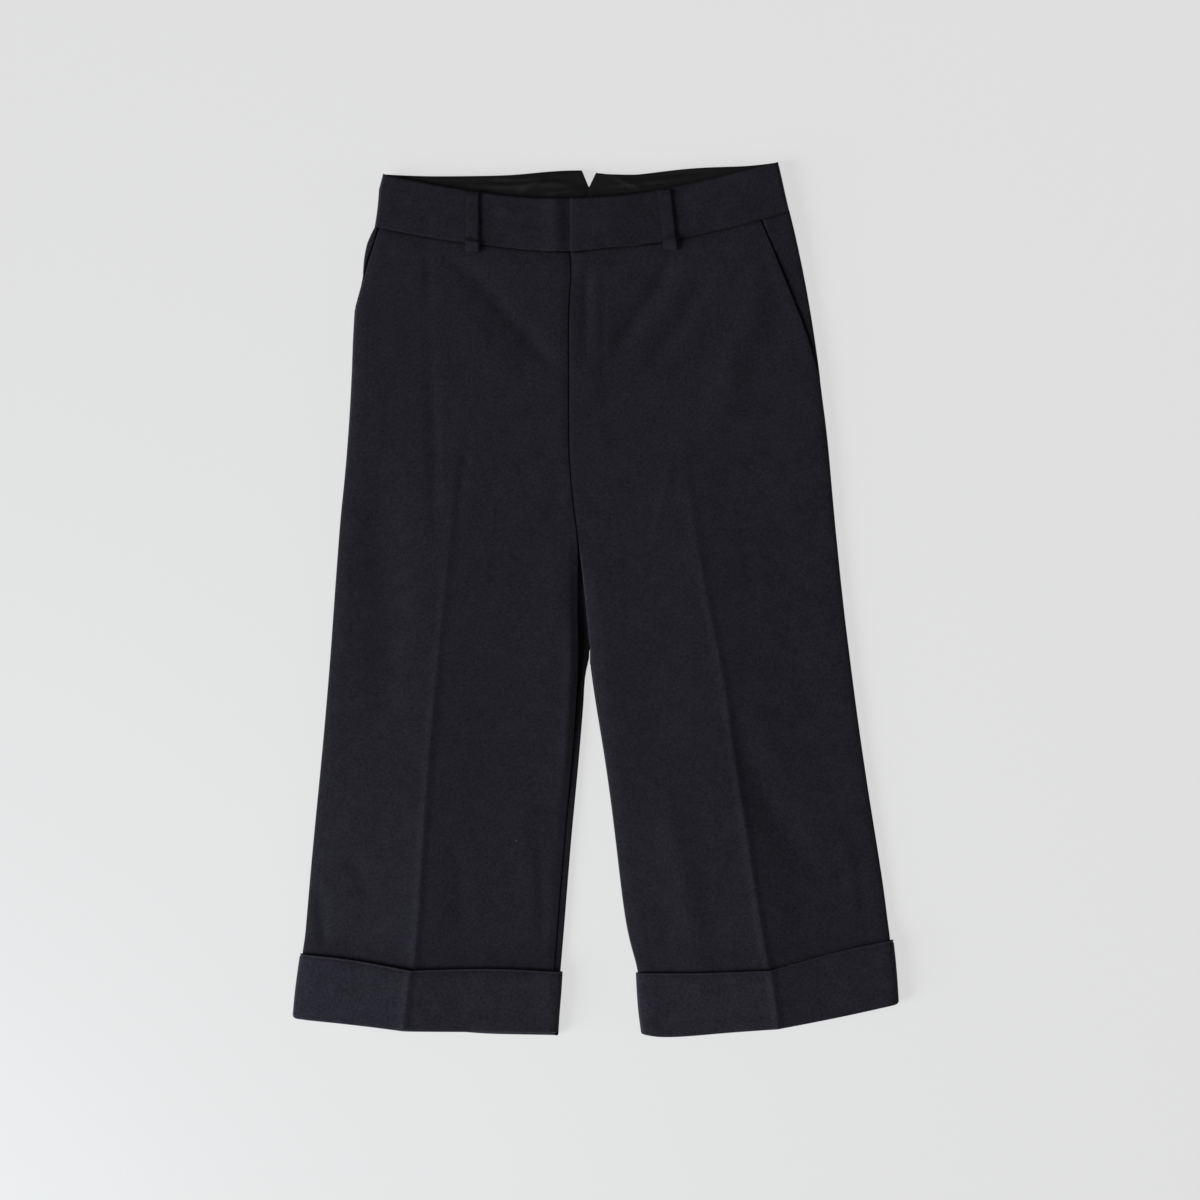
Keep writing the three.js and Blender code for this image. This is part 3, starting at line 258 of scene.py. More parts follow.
CUTS["fly_shield"] = Cut(0.041, 0.166, 0.0065, ["back_right", "back_left"])


def smooth(start, end, value):
    """0 before start, 1 past end and an even S between them."""
    share = np.clip((value - start) / (end - start), 0, 1)
    return share * share * (3 - 2 * share)


def ramp(name, value):
    """A share that grows along one of the named ramps."""
    return smooth(*RAMPS[name], value)


def between_rows(table, places, column=1):
    """A column of a table at any places on its first column."""
    rows = np.array(sorted(table), float)
    return np.interp(places, rows[:, 0], rows[:, column])


def place_across(path, y):
    """The place x of a path at heights y."""
    return between_rows([(high, across) for across, high in path], y)


def rounded(path):
    """A path of straight runs with its corners cut twice."""
    points = np.array(path, float)
    for _ in range(2):
        quarter = points[:-1] * 0.75 + points[1:] * 0.25
        three_quarters = points[:-1] * 0.25 + points[1:] * 0.75
        inner = np.stack([quarter, three_quarters], 1).reshape(-1, 2)
        points = np.vstack([points[:1], inner[1:-1], points[-1:]])
    return points


def beside_path(path, x, y):
    """The distance of points from a path, and their place along it from 0 to 1."""
    points = np.array(path, float)
    runs = np.diff(points, axis=0)
    lengths = np.hypot(runs[:, 0], runs[:, 1])
    before = np.concatenate([[0], np.cumsum(lengths)])
    off, along = np.full_like(x, np.inf), np.zeros_like(x)
    for start, run, length, passed in zip(points, runs, lengths, before):
        share = ((x - start[0]) * run[0] + (y - start[1]) * run[1]) / length**2
        share = np.clip(share, 0, 1)
        here = np.hypot(x - start[0] - share * run[0], y - start[1] - share * run[1])
        nearer = here < off
        off = np.where(nearer, here, off)
        along = np.where(nearer, passed + share * length, along)
    return off, along / before[-1]


def folds_height(folds, x, y):
    """The height that soft folds add at points x, y, in millimetres."""
    height = np.zeros_like(x)
    for fold in folds:
        off, along = beside_path(rounded(fold.path), x, y)
        ends = smooth(0, FOLD_ENDS, along) * smooth(1, 1 - FOLD_ENDS, along)
        height += fold.high * ends * np.exp(-((off / fold.wide) ** 2))
    return height


def outwards(side):
    """The sign of x from a leg's inseam to its outer side."""
    return -1 if side == "right" else 1


def flanks_height(side, crease, x, y):
    """The broad flanks of a pressed crease and its narrow ridge."""
    off = outwards(side) * (x - place_across(crease, y))
    rise, outer, inner = (between_rows(CREASE_FLANKS[side], y, column) for column in (1, 2, 3))
    flanks = rise * np.clip(1 - np.abs(off) / np.where(off > 0, outer, inner), 0, 1)
    packed = between_rows(CREASE_RISE, y)
    lowered = np.clip(1 - np.abs(off) / CREASE_LOWERED["reach"], 0, 1) ** CREASE_LOWERED["bend"]
    ridge = NARROW_RIDGE["high"] * np.clip(1 - np.abs(off) / NARROW_RIDGE["reach"], 0, 1)
    highest = max(high for _, high in CREASE_RISE)
    return flanks + packed * (ridge / highest - CREASE_LOWERED["share"] * lowered)


def roundness(off, width, lost):
    """1 from a width inwards of an edge and less up to it, as cloth rounds off to a fold."""
    return 1 - lost * (1 - np.clip(off / width, 0, 1)) ** 2


def fullness(side, x, y):
    """How far the front stands up between its side and its inseam."""
    outer = roundness(outwards(side) * (place_across(OUTLINES[side], y) - x), *FULLNESS["outer"][side])
    inner = roundness(outwards(side) * (x - place_across(INSEAMS[side], y)), *FULLNESS["inner"][side])
    below_waist = np.maximum(between_rows(WAIST_SEAM, x) - y, 0)
    dip = SEAM_DIP["high"] * np.exp(-((below_waist / SEAM_DIP["wide"]) ** 2))
    return FULLNESS["high"] * outer * (1 - (1 - inner) * ramp("down from the crotch", y)) + dip


def edge_rise(edge, off):
    """How a piece rises behind its edge and comes down again."""
    off = np.maximum(off, 0)
    return edge["high"] * (1 - np.exp(-off / edge["wide"])) * np.exp(-off / edge["long"])


def front_relief(side, strength, creases=LEG_CREASES):
    """What the front's pieces share, so that its layers stay apart as they fold together."""

    def height(x, y):
        waves = folds_height(FRONT_FOLDS, x, y)
        if side == "left":
            waves += edge_rise(FLY_EDGE, x - place_across(CENTRE_FRONT, y)) * ramp("up the fly's edge", y)
            inside = np.clip(1 - (place_across(POCKETS["left"], y) - x) / POCKET_EDGE["wide"], 0, 1)
            along = ramp("up the pocket's edge", y) * ramp("down the pocket's edge", y)
            waves += POCKET_EDGE["high"] * along * inside**2
        room = between_rows(LOFT, y) - CLOTH - 4 * CLEARANCE
        shape = flanks_height(side, creases[side], x, y) + fullness(side, x, y)
        return np.maximum(strength * waves + shape, -np.maximum(room, 0))

    return height


def pocket_relief(side, strength):
    """The pocket bearer follows the front, and past the pocket's edge it swells up to it."""

    def height(x, y):
        past = outwards(side) * (x - place_across(POCKETS[side], y))
        return front_relief(side, strength)(x, y) + BEARER_SWELL * ramp("bearer past the pocket", past)

    return height


def band_relief(side, strength):
    """The waistband's unevenness in front."""

    def height(x, y):
        waves = folds_height(BAND_FOLDS, x, y)
        if side == "left":
            waves += edge_rise(OVERLAP_EDGE, x - CENTRE_FRONT[0][0])
        return strength * waves

    return height


def loop_relief(side, strength):
    """A front belt loop follows the waistband, and below it the front."""

    def height(x, y):
        below = ramp("loop below the waist seam", y - between_rows(WAIST_SEAM, x))
        share = (y.max() - y) / (y.max() - y.min())
        ease = LOOP_EASE["high"] * smooth(0, LOOP_EASE["up"], share) * smooth(1, LOOP_EASE["down"], share)
        on_band = band_relief(side, strength)(x, y) - ease
        return below * front_relief(side, strength)(x, y) + (1 - below) * on_band

    return height


def back_relief(strength):
    """The back's folds, which stay under the front."""

    def height(x, y):
        front = np.where(x < 0, *(front_relief(side, strength)(x, y) for side in SIDES))
        room = between_rows(LOFT, y) + front - CLOTH - CLEARANCE
        return np.clip(strength * folds_height(BACK_FOLDS, x, y), 0, np.maximum(room, 0))

    return height


def lining_relief(strength):
    """The lining's wrinkles, which fade where the front waistband lies on it."""

    def height(x, y):
        free = ramp("lining above the waistband", y - between_rows(BAND_TOP, x))
        return strength * folds_height(LINING_FOLDS, x, y) * free

    return height


def flat(x, y):
    """A piece that keeps its solid's form."""
    return np.zeros_like(x)


def drawn_to(line, at, reach):
    """Places across a seam's line, of which those within reach are drawn to it."""
    off = at - line
    return np.where(np.abs(off) < reach, line + np.sign(off) * SEWN, at)


def close_seams(co):
    """Brings pieces together at the seams of the waistband and of the back."""
    centre = np.where(co[:, 1] > CENTRE_BACK[-1][1], np.inf, place_across(CENTRE_BACK, co[:, 1]))
    co[:, 0] = drawn_to(centre, co[:, 0], SEAM_REACH["centre"])
    for seam in (WAIST_SEAM, BACK_SEAM):
        co[:, 1] = drawn_to(between_rows(seam, co[:, 0]), co[:, 1], SEAM_REACH["waist"])


def round_loop(co):
    """Rounds the lower corners of a belt loop and splays its end a little."""
    lowest, highest = co[:, 1].min(), co[:, 1].max()
    rows = (co[co[:, 1] < lowest + LOOP_END["row"]], co[co[:, 1] > highest - LOOP_END["row"]])
    middles = [(points[:, 0].min() + points[:, 0].max()) / 2 for points in rows]
    middle = np.interp(co[:, 1], (lowest, highest), middles)
    off = co[:, 0] - middle
    half = np.abs(off).max()
    up = co[:, 1] - lowest
    corner = LOOP_END["corner"]
    inset = corner - np.sqrt(np.clip(corner**2 - np.clip(corner - up, 0, corner) ** 2, 0, None))
    splay = LOOP_END["splay"] * smooth(LOOP_END["long"], 0, up)
    co[:, 0] = middle + off * (half - inset + splay) / half


def only(piece):
    """Selects one object and makes it active."""
    bpy.ops.object.select_all(action="DESELECT")
    piece.select_set(True)
    bpy.context.view_layer.objects.active = piece


def apply_modifiers(piece):
    only(piece)
    for modifier in list(piece.modifiers):
        bpy.ops.object.modifier_apply(modifier=modifier.name)


def places(piece):
    """The piece's points, in millimetres."""
    co = np.empty(len(piece.data.vertices) * 3)
    piece.data.vertices.foreach_get("co", co)
    return co.reshape(-1, 3) / MM


def set_places(piece, co):
    piece.data.vertices.foreach_set("co", (co * MM).ravel())
    piece.data.update()


def store(mesh, name, kind, values, domain="POINT"):
    """Keeps a value or a vector for each point or edge of a mesh."""
    field = "vector" if kind == "FLOAT_VECTOR" else "value"
    mesh.attributes.new(name, kind, domain).data.foreach_set(field, values.astype(np.float32).ravel())


def soft_form(node, name):
    """A copy of a node's form as a mesh of quads."""
    piece = bpy.data.objects.new(name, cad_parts[node].data.copy())
    bpy.context.scene.collection.objects.link(piece)
    piece.data.materials.clear()
    only(piece)
    bpy.ops.mesh.customdata_custom_splitnormals_clear()
    bpy.ops.object.mode_set(mode="EDIT")
    bpy.ops.mesh.select_mode(type="EDGE")
    bpy.ops.mesh.select_all(action="SELECT")
    bpy.ops.mesh.remove_doubles(threshold=SAME_POINT)
    bpy.ops.mesh.tris_convert_to_quads(face_threshold=math.pi, shape_threshold=math.pi, topology_influence=2.0)
    bpy.ops.mesh.select_all(action="DESELECT")
    bpy.ops.mesh.edges_select_sharp(sharpness=RIM_ANGLE)
    bpy.ops.object.mode_set(mode="OBJECT")
    return piece


def sharpen(piece, crease):
    """Keeps the cut edges, their corners and the pressed crease when the mesh is subdivided."""
    mesh = piece.data
    co = places(piece)
    keep = np.array([1.0 if edge.select else 0.0 for edge in mesh.edges])
    ends = np.array([edge.vertices[:] for edge in mesh.edges])
    first, second = co[ends[:, 0]], co[ends[:, 1]]
    corners = np.zeros(len(co), np.float32)
    directions = {}
    for (start, end), run in zip(ends[keep > 0], (second - first)[keep > 0]):
        length = math.hypot(run[0], run[1])
        if length > UPRIGHT:
            directions.setdefault(start, []).append(run[:2] / length)
            directions.setdefault(end, []).append(-run[:2] / length)
    for point, ways in directions.items():
        if len(ways) == 2 and ways[0] @ ways[1] > -math.cos(CORNER_ANGLE):
            corners[point] = 1
    store(mesh, "crease_vert", "FLOAT", corners)
    if crease:
        near = [np.abs(end[:, 0] - place_across(crease, end[:, 1])) < ON_CREASE for end in (first, second)]
        lengthwise = np.abs(first[:, 1] - second[:, 1]) > np.abs(first[:, 0] - second[:, 0])
        on_crease = near[0] & near[1] & lengthwise
        keep = np.maximum(keep, on_crease * ramp("down the pressed crease", first[:, 1]))
    store(mesh, "crease_edge", "FLOAT", keep, "EDGE")


def set_grain(piece, crease):
    """The place of each point in the cloth's own weave: across and along the grain."""
    co = places(piece)
    across = co[:, 0] - (place_across(crease, co[:, 1]) if crease else 0)
    store(piece.data, "grain", "FLOAT_VECTOR", np.stack([across, co[:, 1], co[:, 2]], 1).astype(np.float32) * MM)


def mark_rims(piece):
    """Gives the walls along the cut edges their own material index."""
    mesh = piece.data
    sharp = {edge.key for edge in mesh.edges if edge.select}
    for polygon in mesh.polygons:
        kept = [key in sharp for key in polygon.edge_keys]
        if len(kept) == 4 and (kept[0] and kept[2] or kept[1] and kept[3]):
            across = 1 if kept[0] and kept[2] else 0
            ends = [mesh.vertices[i].co for i in polygon.edge_keys[across]]
            polygon.material_index = int((ends[0] - ends[1]).length < THICKEST * MM)


def shade_seams(x, y):
    """Where shade is painted: 1 at the waist seam and along the front's overlaps, 0 away from them."""
    waist = ramp("near the waist seam", np.abs(y - between_rows(WAIST_SEAM, x)))
    centre = ramp("near the centre front", np.abs(x - place_across(CENTRE_FRONT, y)))
    return np.maximum(waist, centre * ramp("up the centre front", y) * ramp("down the centre front", y))


def shade_rims(x, y):
    """1 everywhere, for a piece whose every edge gets painted shade."""
    return np.ones_like(x)


def shade_gap(x, y):
    """1 on the backs between the front's inseams: painted shade where the legs shade each other."""
    right, left = (ramp(f"past the {side} inseam", x - place_across(INSEAMS[side], y)) for side in SIDES)
    return right * left * ramp("up the gap", y) * ramp("down the gap", y)


def soften_rims(piece, radius, shaded):
    """Rounds the cloth off towards its cut edges, where its faces draw together, and marks its seams for painted
    shade.
    """
    mesh = piece.data
    co = places(piece)
    faces = np.empty(len(mesh.loops), np.int64)
    mesh.loops.foreach_get("vertex_index", faces)
    faces = faces.reshape(-1, 4)
    rim = np.empty(len(faces), np.int64)
    mesh.polygons.foreach_get("material_index", rim)
    normals = np.empty(3 * len(faces))
    mesh.polygons.foreach_get("normal", normals)
    normals = normals.reshape(-1, 3)
    on_rim, on_face = np.zeros(len(co), bool), np.zeros(len(co), bool)
    on_rim[faces[rim == 1].ravel()] = True
    on_face[faces[rim == 0].ravel()] = True
    outward = np.zeros_like(co)
    np.add.at(outward, faces[rim == 0].ravel(), np.repeat(normals[rim == 0], 4, axis=0))
    up = outward[:, 2] / np.maximum(np.linalg.norm(outward, axis=1), NO_LENGTH)
    edge = np.flatnonzero(on_rim & on_face)
    tree = KDTree(len(edge))
    for i in edge:
        tree.insert(co[i], i)
    tree.balance()
    nearest = [tree.find(point)[1:] for point in co]
    closest = np.array([found[0] for found in nearest])
    off = np.array([found[1] for found in nearest])
    half = np.quantile(off[on_rim & ~on_face], RIM_SHARE)
    draw = RIM_DRAW * half
    inwards = np.clip(1 - off / radius, 0, 1)
    face_moves = up * (draw * (1 - np.sqrt(1 - inwards**2)))
    rim_moves = up[closest] * (draw * np.clip(1 - off / half, 0, 1))
    co[:, 2] = np.maximum(co[:, 2] - np.where(on_face, face_moves, rim_moves), 0)
    set_places(piece, co)
    # Painted shade: how much of the darker seam colour each point takes, fading away from the rim except in the gap
    # between the legs
    seam = PAINTED_SEAM_SHADE["deep"] * shaded(co[:, 0], co[:, 1])
    if shaded is not shade_gap:
        seam = seam * np.where(on_face, np.exp(-((off / PAINTED_SEAM_SHADE["reach"]) ** 2)), 1)
    store(piece.data, "seam", "FLOAT", seam)


def cloth_piece(node, material, detail, relief, rounding, crease=None, outline=close_seams, shaded=shade_seams):
    """A piece of cloth on its solid's form: subdivided, folded, with rounded edges and its place in the object."""
    piece = soft_form(node, f"{node}_cloth")
    mark_rims(piece)
    sharpen(piece, crease)
    subdivide = piece.modifiers.new("subdivide", "SUBSURF")
    subdivide.levels = subdivide.render_levels = detail
    apply_modifiers(piece)
    co = places(piece)
    outline(co)
    co[:, 2] = np.maximum(co[:, 2] + relief(co[:, 0], co[:, 1]), 0)
    set_places(piece, co)
    soften_rims(piece, rounding / MM, shaded)
    set_grain(piece, crease)
    piece.data.materials.append(material)
    piece.data.polygons.foreach_set("material_index", np.zeros(len(piece.data.polygons), np.int32))
    only(piece)
    bpy.ops.object.shade_smooth_by_angle(angle=SMOOTH_ANGLE)
    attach(piece, BODY)
    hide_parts(node)


def surface_of(piece):
    """A piece's surface, to set stitches on."""
    corners = [vertex.co.copy() for vertex in piece.data.vertices]
    return BVHTree.FromPolygons(corners, [polygon.vertices[:] for polygon in piece.data.polygons])


def group_sockets(group, kinds, way):
    """Adds sockets to a node group, from names and kinds."""
    for name, kind in kinds.items():
        group.interface.new_socket(name, in_out=way, socket_type=f"NodeSocket{kind}")


class Nodes:
    """Adds nodes to a tree and links them."""

    def __init__(self, tree):
        self.tree = tree

    def feed(self, node, inputs):
        """Links a node's inputs to sockets, or sets their values."""
        for name, value in inputs.items():
            socket = node.inputs[name]
            if isinstance(value, bpy.types.NodeSocket):
                self.tree.links.new(value, socket)
            else:
                socket.default_value = value
        return node

    def add(self, kind, inputs=None, **settings):
        node = self.tree.nodes.new(kind)
        for name, value in settings.items():
            setattr(node, name, value)
        return self.feed(node, inputs or {})

    def noise(self, vector, scale, detail=2.0, rough=0.5):
        inputs = {"Vector": vector, "Scale": scale, "Detail": detail, "Roughness": rough}
        return self.add("ShaderNodeTexNoise", inputs).outputs["Fac"]

    def maths(self, operation, *values):
        return self.add("ShaderNodeMath", dict(enumerate(values)), operation=operation).outputs[0]

    def blend(self, first, second, share):
        """A share of the first value and the rest of the second."""
        return self.maths("ADD", self.maths("MULTIPLY", first, share), self.maths("MULTIPLY", second, 1 - share))

    def spread(self, value, low, high, to_low=0.0, to_high=1.0):
        inputs = {"Value": value, "From Min": low, "From Max": high, "To Min": to_low, "To Max": to_high}
        return self.add("ShaderNodeMapRange", inputs).outputs["Result"]

    def scaled(self, vector, scale, turn=0.0):
        inputs = {"Vector": vector, "Scale": scale, "Rotation": (0, 0, turn)}
        return self.add("ShaderNodeMapping", inputs).outputs["Vector"]

    def mix(self, share, low, high):
        """Two colours mixed by a share. Each is a socket or three values."""
        low, high = (value if isinstance(value, bpy.types.NodeSocket) else (*value, 1) for value in (low, high))
        return self.add("ShaderNodeMix", {0: share, 6: low, 7: high}, data_type="RGBA").outputs[2]

    def bump(self, height, strength, distance):
        inputs = {"Height": height, "Strength": strength, "Distance": distance}
        return self.add("ShaderNodeBump", inputs).outputs["Normal"]


def napped_weave():
    """The nap of the flannel over its fine twill: fibres of several tones, soft mottle and a few light specks."""
    group = bpy.data.node_groups.new("Napped weave", "ShaderNodeTree")
    group_sockets(group, {"Grain": "Vector", "Fibre scale": "Float", "Twill": "Float"}, "INPUT")
    group_sockets(group, {name: "Float" for name in ("Tone", "Hue", "Specks", "Height")}, "OUTPUT")
    made = Nodes(group)
    source = made.add("NodeGroupInput")
    grain, fibre_scale = source.outputs["Grain"], source.outputs["Fibre scale"]
    fibres = made.noise(made.scaled(grain, (1.0, 0.45, 1.0)), fibre_scale, 4.0, 0.62)
    crossing = made.noise(made.scaled(grain, (0.5, 1.0, 1.0), 0.6), fibre_scale, 3.0, 0.6)
    mottle = made.noise(grain, 70.0, 3.0)
    clouds = made.noise(grain, 420.0)
    fine = made.blend(fibres, crossing, 0.5)
    tone = made.spread(made.blend(fine, made.blend(mottle, clouds, 0.35), 0.62), 0.37, 0.63)
    hue = made.spread(made.noise(made.scaled(grain, (1.0, 0.5, 1.0)), 900.0), 0.35, 0.65)
    cells = made.add("ShaderNodeTexVoronoi", {"Vector": grain, "Scale": 95.0, "Randomness": 1.0})
    picked = made.add("ShaderNodeSeparateColor", {"Color": cells.outputs["Color"]})
    chosen = made.maths("GREATER_THAN", picked.outputs[0], 0.985)
    specks = made.maths("MULTIPLY", made.spread(cells.outputs["Distance"], 0.055, 0.02), chosen)
    turned = made.scaled(grain, (1.0, 1.0, 1.0), math.radians(58))
    wales = {"Vector": turned, "Scale": 260.0, "Distortion": 1.6, "Detail": 2.0, "Detail Scale": 1.5}
    bands = made.add("ShaderNodeTexWave", wales, wave_type="BANDS", bands_direction="X")
    ribbed = made.maths("MULTIPLY", bands.outputs["Fac"], source.outputs["Twill"])
    height = made.maths("ADD", made.maths("ADD", fine, made.maths("MULTIPLY", clouds, 0.6)), ribbed)
    made.add("NodeGroupOutput", {"Tone": tone, "Hue": hue, "Specks": specks, "Height": height})
    return group


def new_material(name):
    """A material with its shader, and what adds nodes to it."""
    material = bpy.data.materials.new(name)
    material.use_nodes = True
    material.node_tree.nodes.clear()
    made = Nodes(material.node_tree)
    shader = made.add("ShaderNodeBsdfPrincipled")
    made.add("ShaderNodeOutputMaterial", {"Surface": shader.outputs["BSDF"]})
    return material, made, shader


def placed_group(made, group, **inputs):
    """A node group in a material, on the cloth's own grain."""
    grain = made.add("ShaderNodeAttribute", attribute_name="grain").outputs["Vector"]
    return made.feed(made.add("ShaderNodeGroup", node_tree=group), {"Grain": grain, **inputs}).outputs


def flannel_material(name, colours, light_fibres, group):
    """Navy flannel: dark melange with a dry nap that lights up where it turns away, and painted shade at its seams.
    """
    material, made, shader = new_material(name)
    weave = placed_group(made, group, **{"Fibre scale": 1500.0, "Twill": 0.25})
    dark = made.mix(weave["Hue"], colours.flannel_blue, colours.flannel_plum)
    specked = made.mix(weave["Specks"], made.mix(weave["Tone"], dark, light_fibres), colours.lint)
    # Painted shade: the seam attribute mixes the darker seam colour into the cloth's colour
    seam = made.add("ShaderNodeAttribute", attribute_name="seam").outputs["Fac"]
    made.feed(shader, {
        "Base Color": made.mix(seam, specked, colours.painted_seam_shade),
        "Roughness": made.spread(weave["Tone"], 0.0, 1.0, 0.98, 0.86),
        "Normal": made.bump(weave["Height"], 0.55, 0.00022),
        "Specular IOR Level": 0.12,
        "Sheen Weight": 0.06,
        "Sheen Roughness": 0.45,
        "Sheen Tint": (0.75, 0.8, 1.0, 1),
    })
    return material


def close_weave():
    """The lining's weave: fine threads both ways, with slubs along one."""
    group = bpy.data.node_groups.new("Close weave", "ShaderNodeTree")
    group_sockets(group, {"Grain": "Vector"}, "INPUT")
    group_sockets(group, {"Tone": "Float", "Height": "Float"}, "OUTPUT")
    made = Nodes(group)
    grain = made.add("NodeGroupInput").outputs["Grain"]
    ways = {"Vector": grain, "Scale": 700.0, "Distortion": 0.6}
    warp, weft = (made.add("ShaderNodeTexWave", ways, bands_direction=way).outputs["Fac"] for way in "XY")
    slubs = made.noise(made.scaled(grain, (0.15, 1.0, 1.0)), 600.0, 3.0)
    height = made.maths("ADD", made.maths("MULTIPLY", warp, weft), made.maths("MULTIPLY", slubs, 0.5))
    made.add("NodeGroupOutput", {"Tone": made.spread(slubs, 0.3, 0.7), "Height": height})
    return group


def lining_material(colours):
    """Near-black lining: a smooth, close weave with a faint dull shine."""
    material, made, shader = new_material("Olive black lining")
    weave = placed_group(made, close_weave())
    made.feed(shader, {
        "Base Color": made.mix(weave["Tone"], colours.lining_dark, colours.lining_light),
        "Roughness": made.spread(weave["Tone"], 0.0, 1.0, 0.62, 0.5),
        "Normal": made.bump(weave["Height"], 0.3, 0.0001),
        "Specular IOR Level": 0.22,
        "Sheen Weight": 0.03,
    })
    return material


def thread_material(colours):
    """Navy sewing thread with a fine twist."""
    material, made, shader = new_material("Navy thread")
    place = made.add("ShaderNodeTexCoord").outputs["Object"]
    plies = {"Vector": place, "Scale": 1500.0, "Distortion": 1.0}
    twist = made.add("ShaderNodeTexWave", plies, bands_direction="DIAGONAL").outputs["Fac"]
    fibre = made.noise(place, 5000.0)
    made.feed(shader, {
        "Base Color": made.mix(fibre, colours.thread_dark, colours.thread_light),
        "Roughness": made.spread(fibre, 0.0, 1.0, 0.55, 0.75),
        "Normal": made.bump(twist, 0.5, 0.00005),
        "Specular IOR Level": 0.2,
    })
    return material


def finish_named(name, make):
    """A material that is made once and then shared."""
    return bpy.data.materials.get(name) or make()


def flannel(scene, name="Navy flannel", light_fibres=None):
    colours = scene.trousers_colours
    group = bpy.data.node_groups.get("Napped weave") or napped_weave()
    light_fibres = light_fibres or colours.flannel_light
    return finish_named(name, lambda: flannel_material(name, colours, light_fibres, group))


def painted_lighter_flannel(scene):
    """The flannel of the turn-ups: a lighter copy of the same cloth, painted light that makes the turn-ups brighter.
    """
    return flannel(scene, "Navy flannel, turned", scene.trousers_colours.flannel_painted_lighter)


def length(name, description, default):
    return bpy.props.FloatProperty(name=name, description=description, default=default, unit="LENGTH")


def amount(name, description, default, **settings):
    return bpy.props.FloatProperty(name=name, description=description, default=default, **settings)


def detail(name, description, most):
    return bpy.props.IntProperty(name=name, description=description, default=most, min=1, max=most)


def colour(name, description, *shade):
    return bpy.props.FloatVectorProperty(name=name, description=description, subtype="COLOR", size=3, default=shade)


class TrousersSizes(bpy.types.PropertyGroup):
    """Sizes of the cloth, its folds and its stitches."""

    rounding: length("Edge rounding", "Width on which the cloth rounds off to its edges", 0.0012)
    folds: amount("Folds", "How strongly the soft folds show", 1.0, subtype="FACTOR", min=0, max=1.5)
    panel_detail: detail("Panel detail", "Subdivisions of the legs' panels and the pockets", 3)
    small_detail: detail("Small piece detail", "Subdivisions of the waistband and its lining", 4)
    stitch_length: length("Stitch length", "Length of one stitch of the fly", 0.0026)
    stitch_pitch: length("Stitch pitch", "From one stitch to the next", 0.0033)
    thread_width: length("Thread width", "Thickness of the sewing thread", 0.0005)


class TrousersColours(bpy.types.PropertyGroup):
    """Colours of the cloths and the thread."""

    flannel_blue: colour("Flannel, blue fibres", "Dark bluish fibres", 0.0034, 0.0037, 0.0074)
    flannel_plum: colour("Flannel, plum fibres", "Dark reddish fibres", 0.0058, 0.0042, 0.0066)
    flannel_light: colour("Flannel, light fibres", "Lighter fibres of the nap", 0.0186, 0.0173, 0.0243)
    # Painted light: lighter fibres for the turn-ups' copy of the flannel, which makes the turn-ups brighter
    flannel_painted_lighter: colour("Flannel, turned", "Lighter fibres of the turn-ups' nap", 0.0226, 0.0210, 0.0290)
    # Painted shade: a darker colour mixed in at seams, cut edges and between the legs, where shade falls
    painted_seam_shade: colour("Seam shade", "The cloth where it is drawn into a seam", 0.0012, 0.0012, 0.0018)
    lint: colour("Lint", "The few light specks on the nap", 0.16, 0.16, 0.17)
    lining_dark: colour("Lining, dark", "Dark threads of the lining", 0.0015, 0.0015, 0.0015)
    lining_light: colour("Lining, light", "Light threads of the lining", 0.0034, 0.0033, 0.0033)
    thread_dark: colour("Thread, dark", "Dark side of the thread", 0.004, 0.004, 0.006)
    thread_light: colour("Thread, light", "Light side of the thread", 0.01, 0.01, 0.015)


class StageSettings(bpy.types.PropertyGroup):
    """The floor, the light and the camera."""

    camera_height: length("Camera height", "Height of the camera over the floor", 2.556)
    lens: amount("Focal length", "Focal length of the lens in millimetres", 85.0)
    key_light: amount("Key light", "Strength of the light from the left", 5.0)
    fill_light: amount("Fill light", "Strength of the low light from the right", 1.2)
    near_light: amount("Near light", "Power of the soft light beside the turn-ups", 12.0, unit="POWER")
    dome_light: amount("Dome light", "Strength of the even light from all around", 0.17)
    floor: colour("Floor", "Colour of the plain pale floor", 0.15, 0.15, 0.15)
    floor_glow: amount("Floor glow", "Light that comes through the floor, as on a light table", 0.63)


class TROUSERS_OT_legs(bpy.types.Operator):
    """Models the front and back panels of both legs"""

    bl_idname = "trousers.legs"
    bl_label = "Legs"

    def execute(self, context):
        sizes = context.scene.trousers_sizes
        for side in SIDES:
            front, back = front_relief(side, sizes.folds), back_relief(sizes.folds)
            for face, relief, shaded in (("front", front, shade_seams), ("back", back, shade_gap)):
                cloth_piece(f"{face}_{side}", flannel(context.scene), sizes.panel_detail, relief, sizes.rounding,
                            LEG_CREASES[side], shaded=shaded)
        return {"FINISHED"}


class TROUSERS_OT_turn_ups(bpy.types.Operator):
    """Models the turn-ups at the hems"""

    bl_idname = "trousers.turn_ups"
    bl_label = "Turn-ups"

    def execute(self, context):
        sizes = context.scene.trousers_sizes
        rounding = TURN_UP_ROUNDING * sizes.rounding
        for side in SIDES:
            rows = (
                ("front", sizes.panel_detail, front_relief(side, sizes.folds, TURN_UP_CREASES)),
                ("back", max(sizes.panel_detail - 1, 1), back_relief(sizes.folds)),
            )
            for face, detail, relief in rows:
                cloth_piece(f"turn_up_{face}_{side}", painted_lighter_flannel(context.scene), detail, relief, rounding,
                            TURN_UP_CREASES[side], shaded=shade_rims)
        return {"FINISHED"}


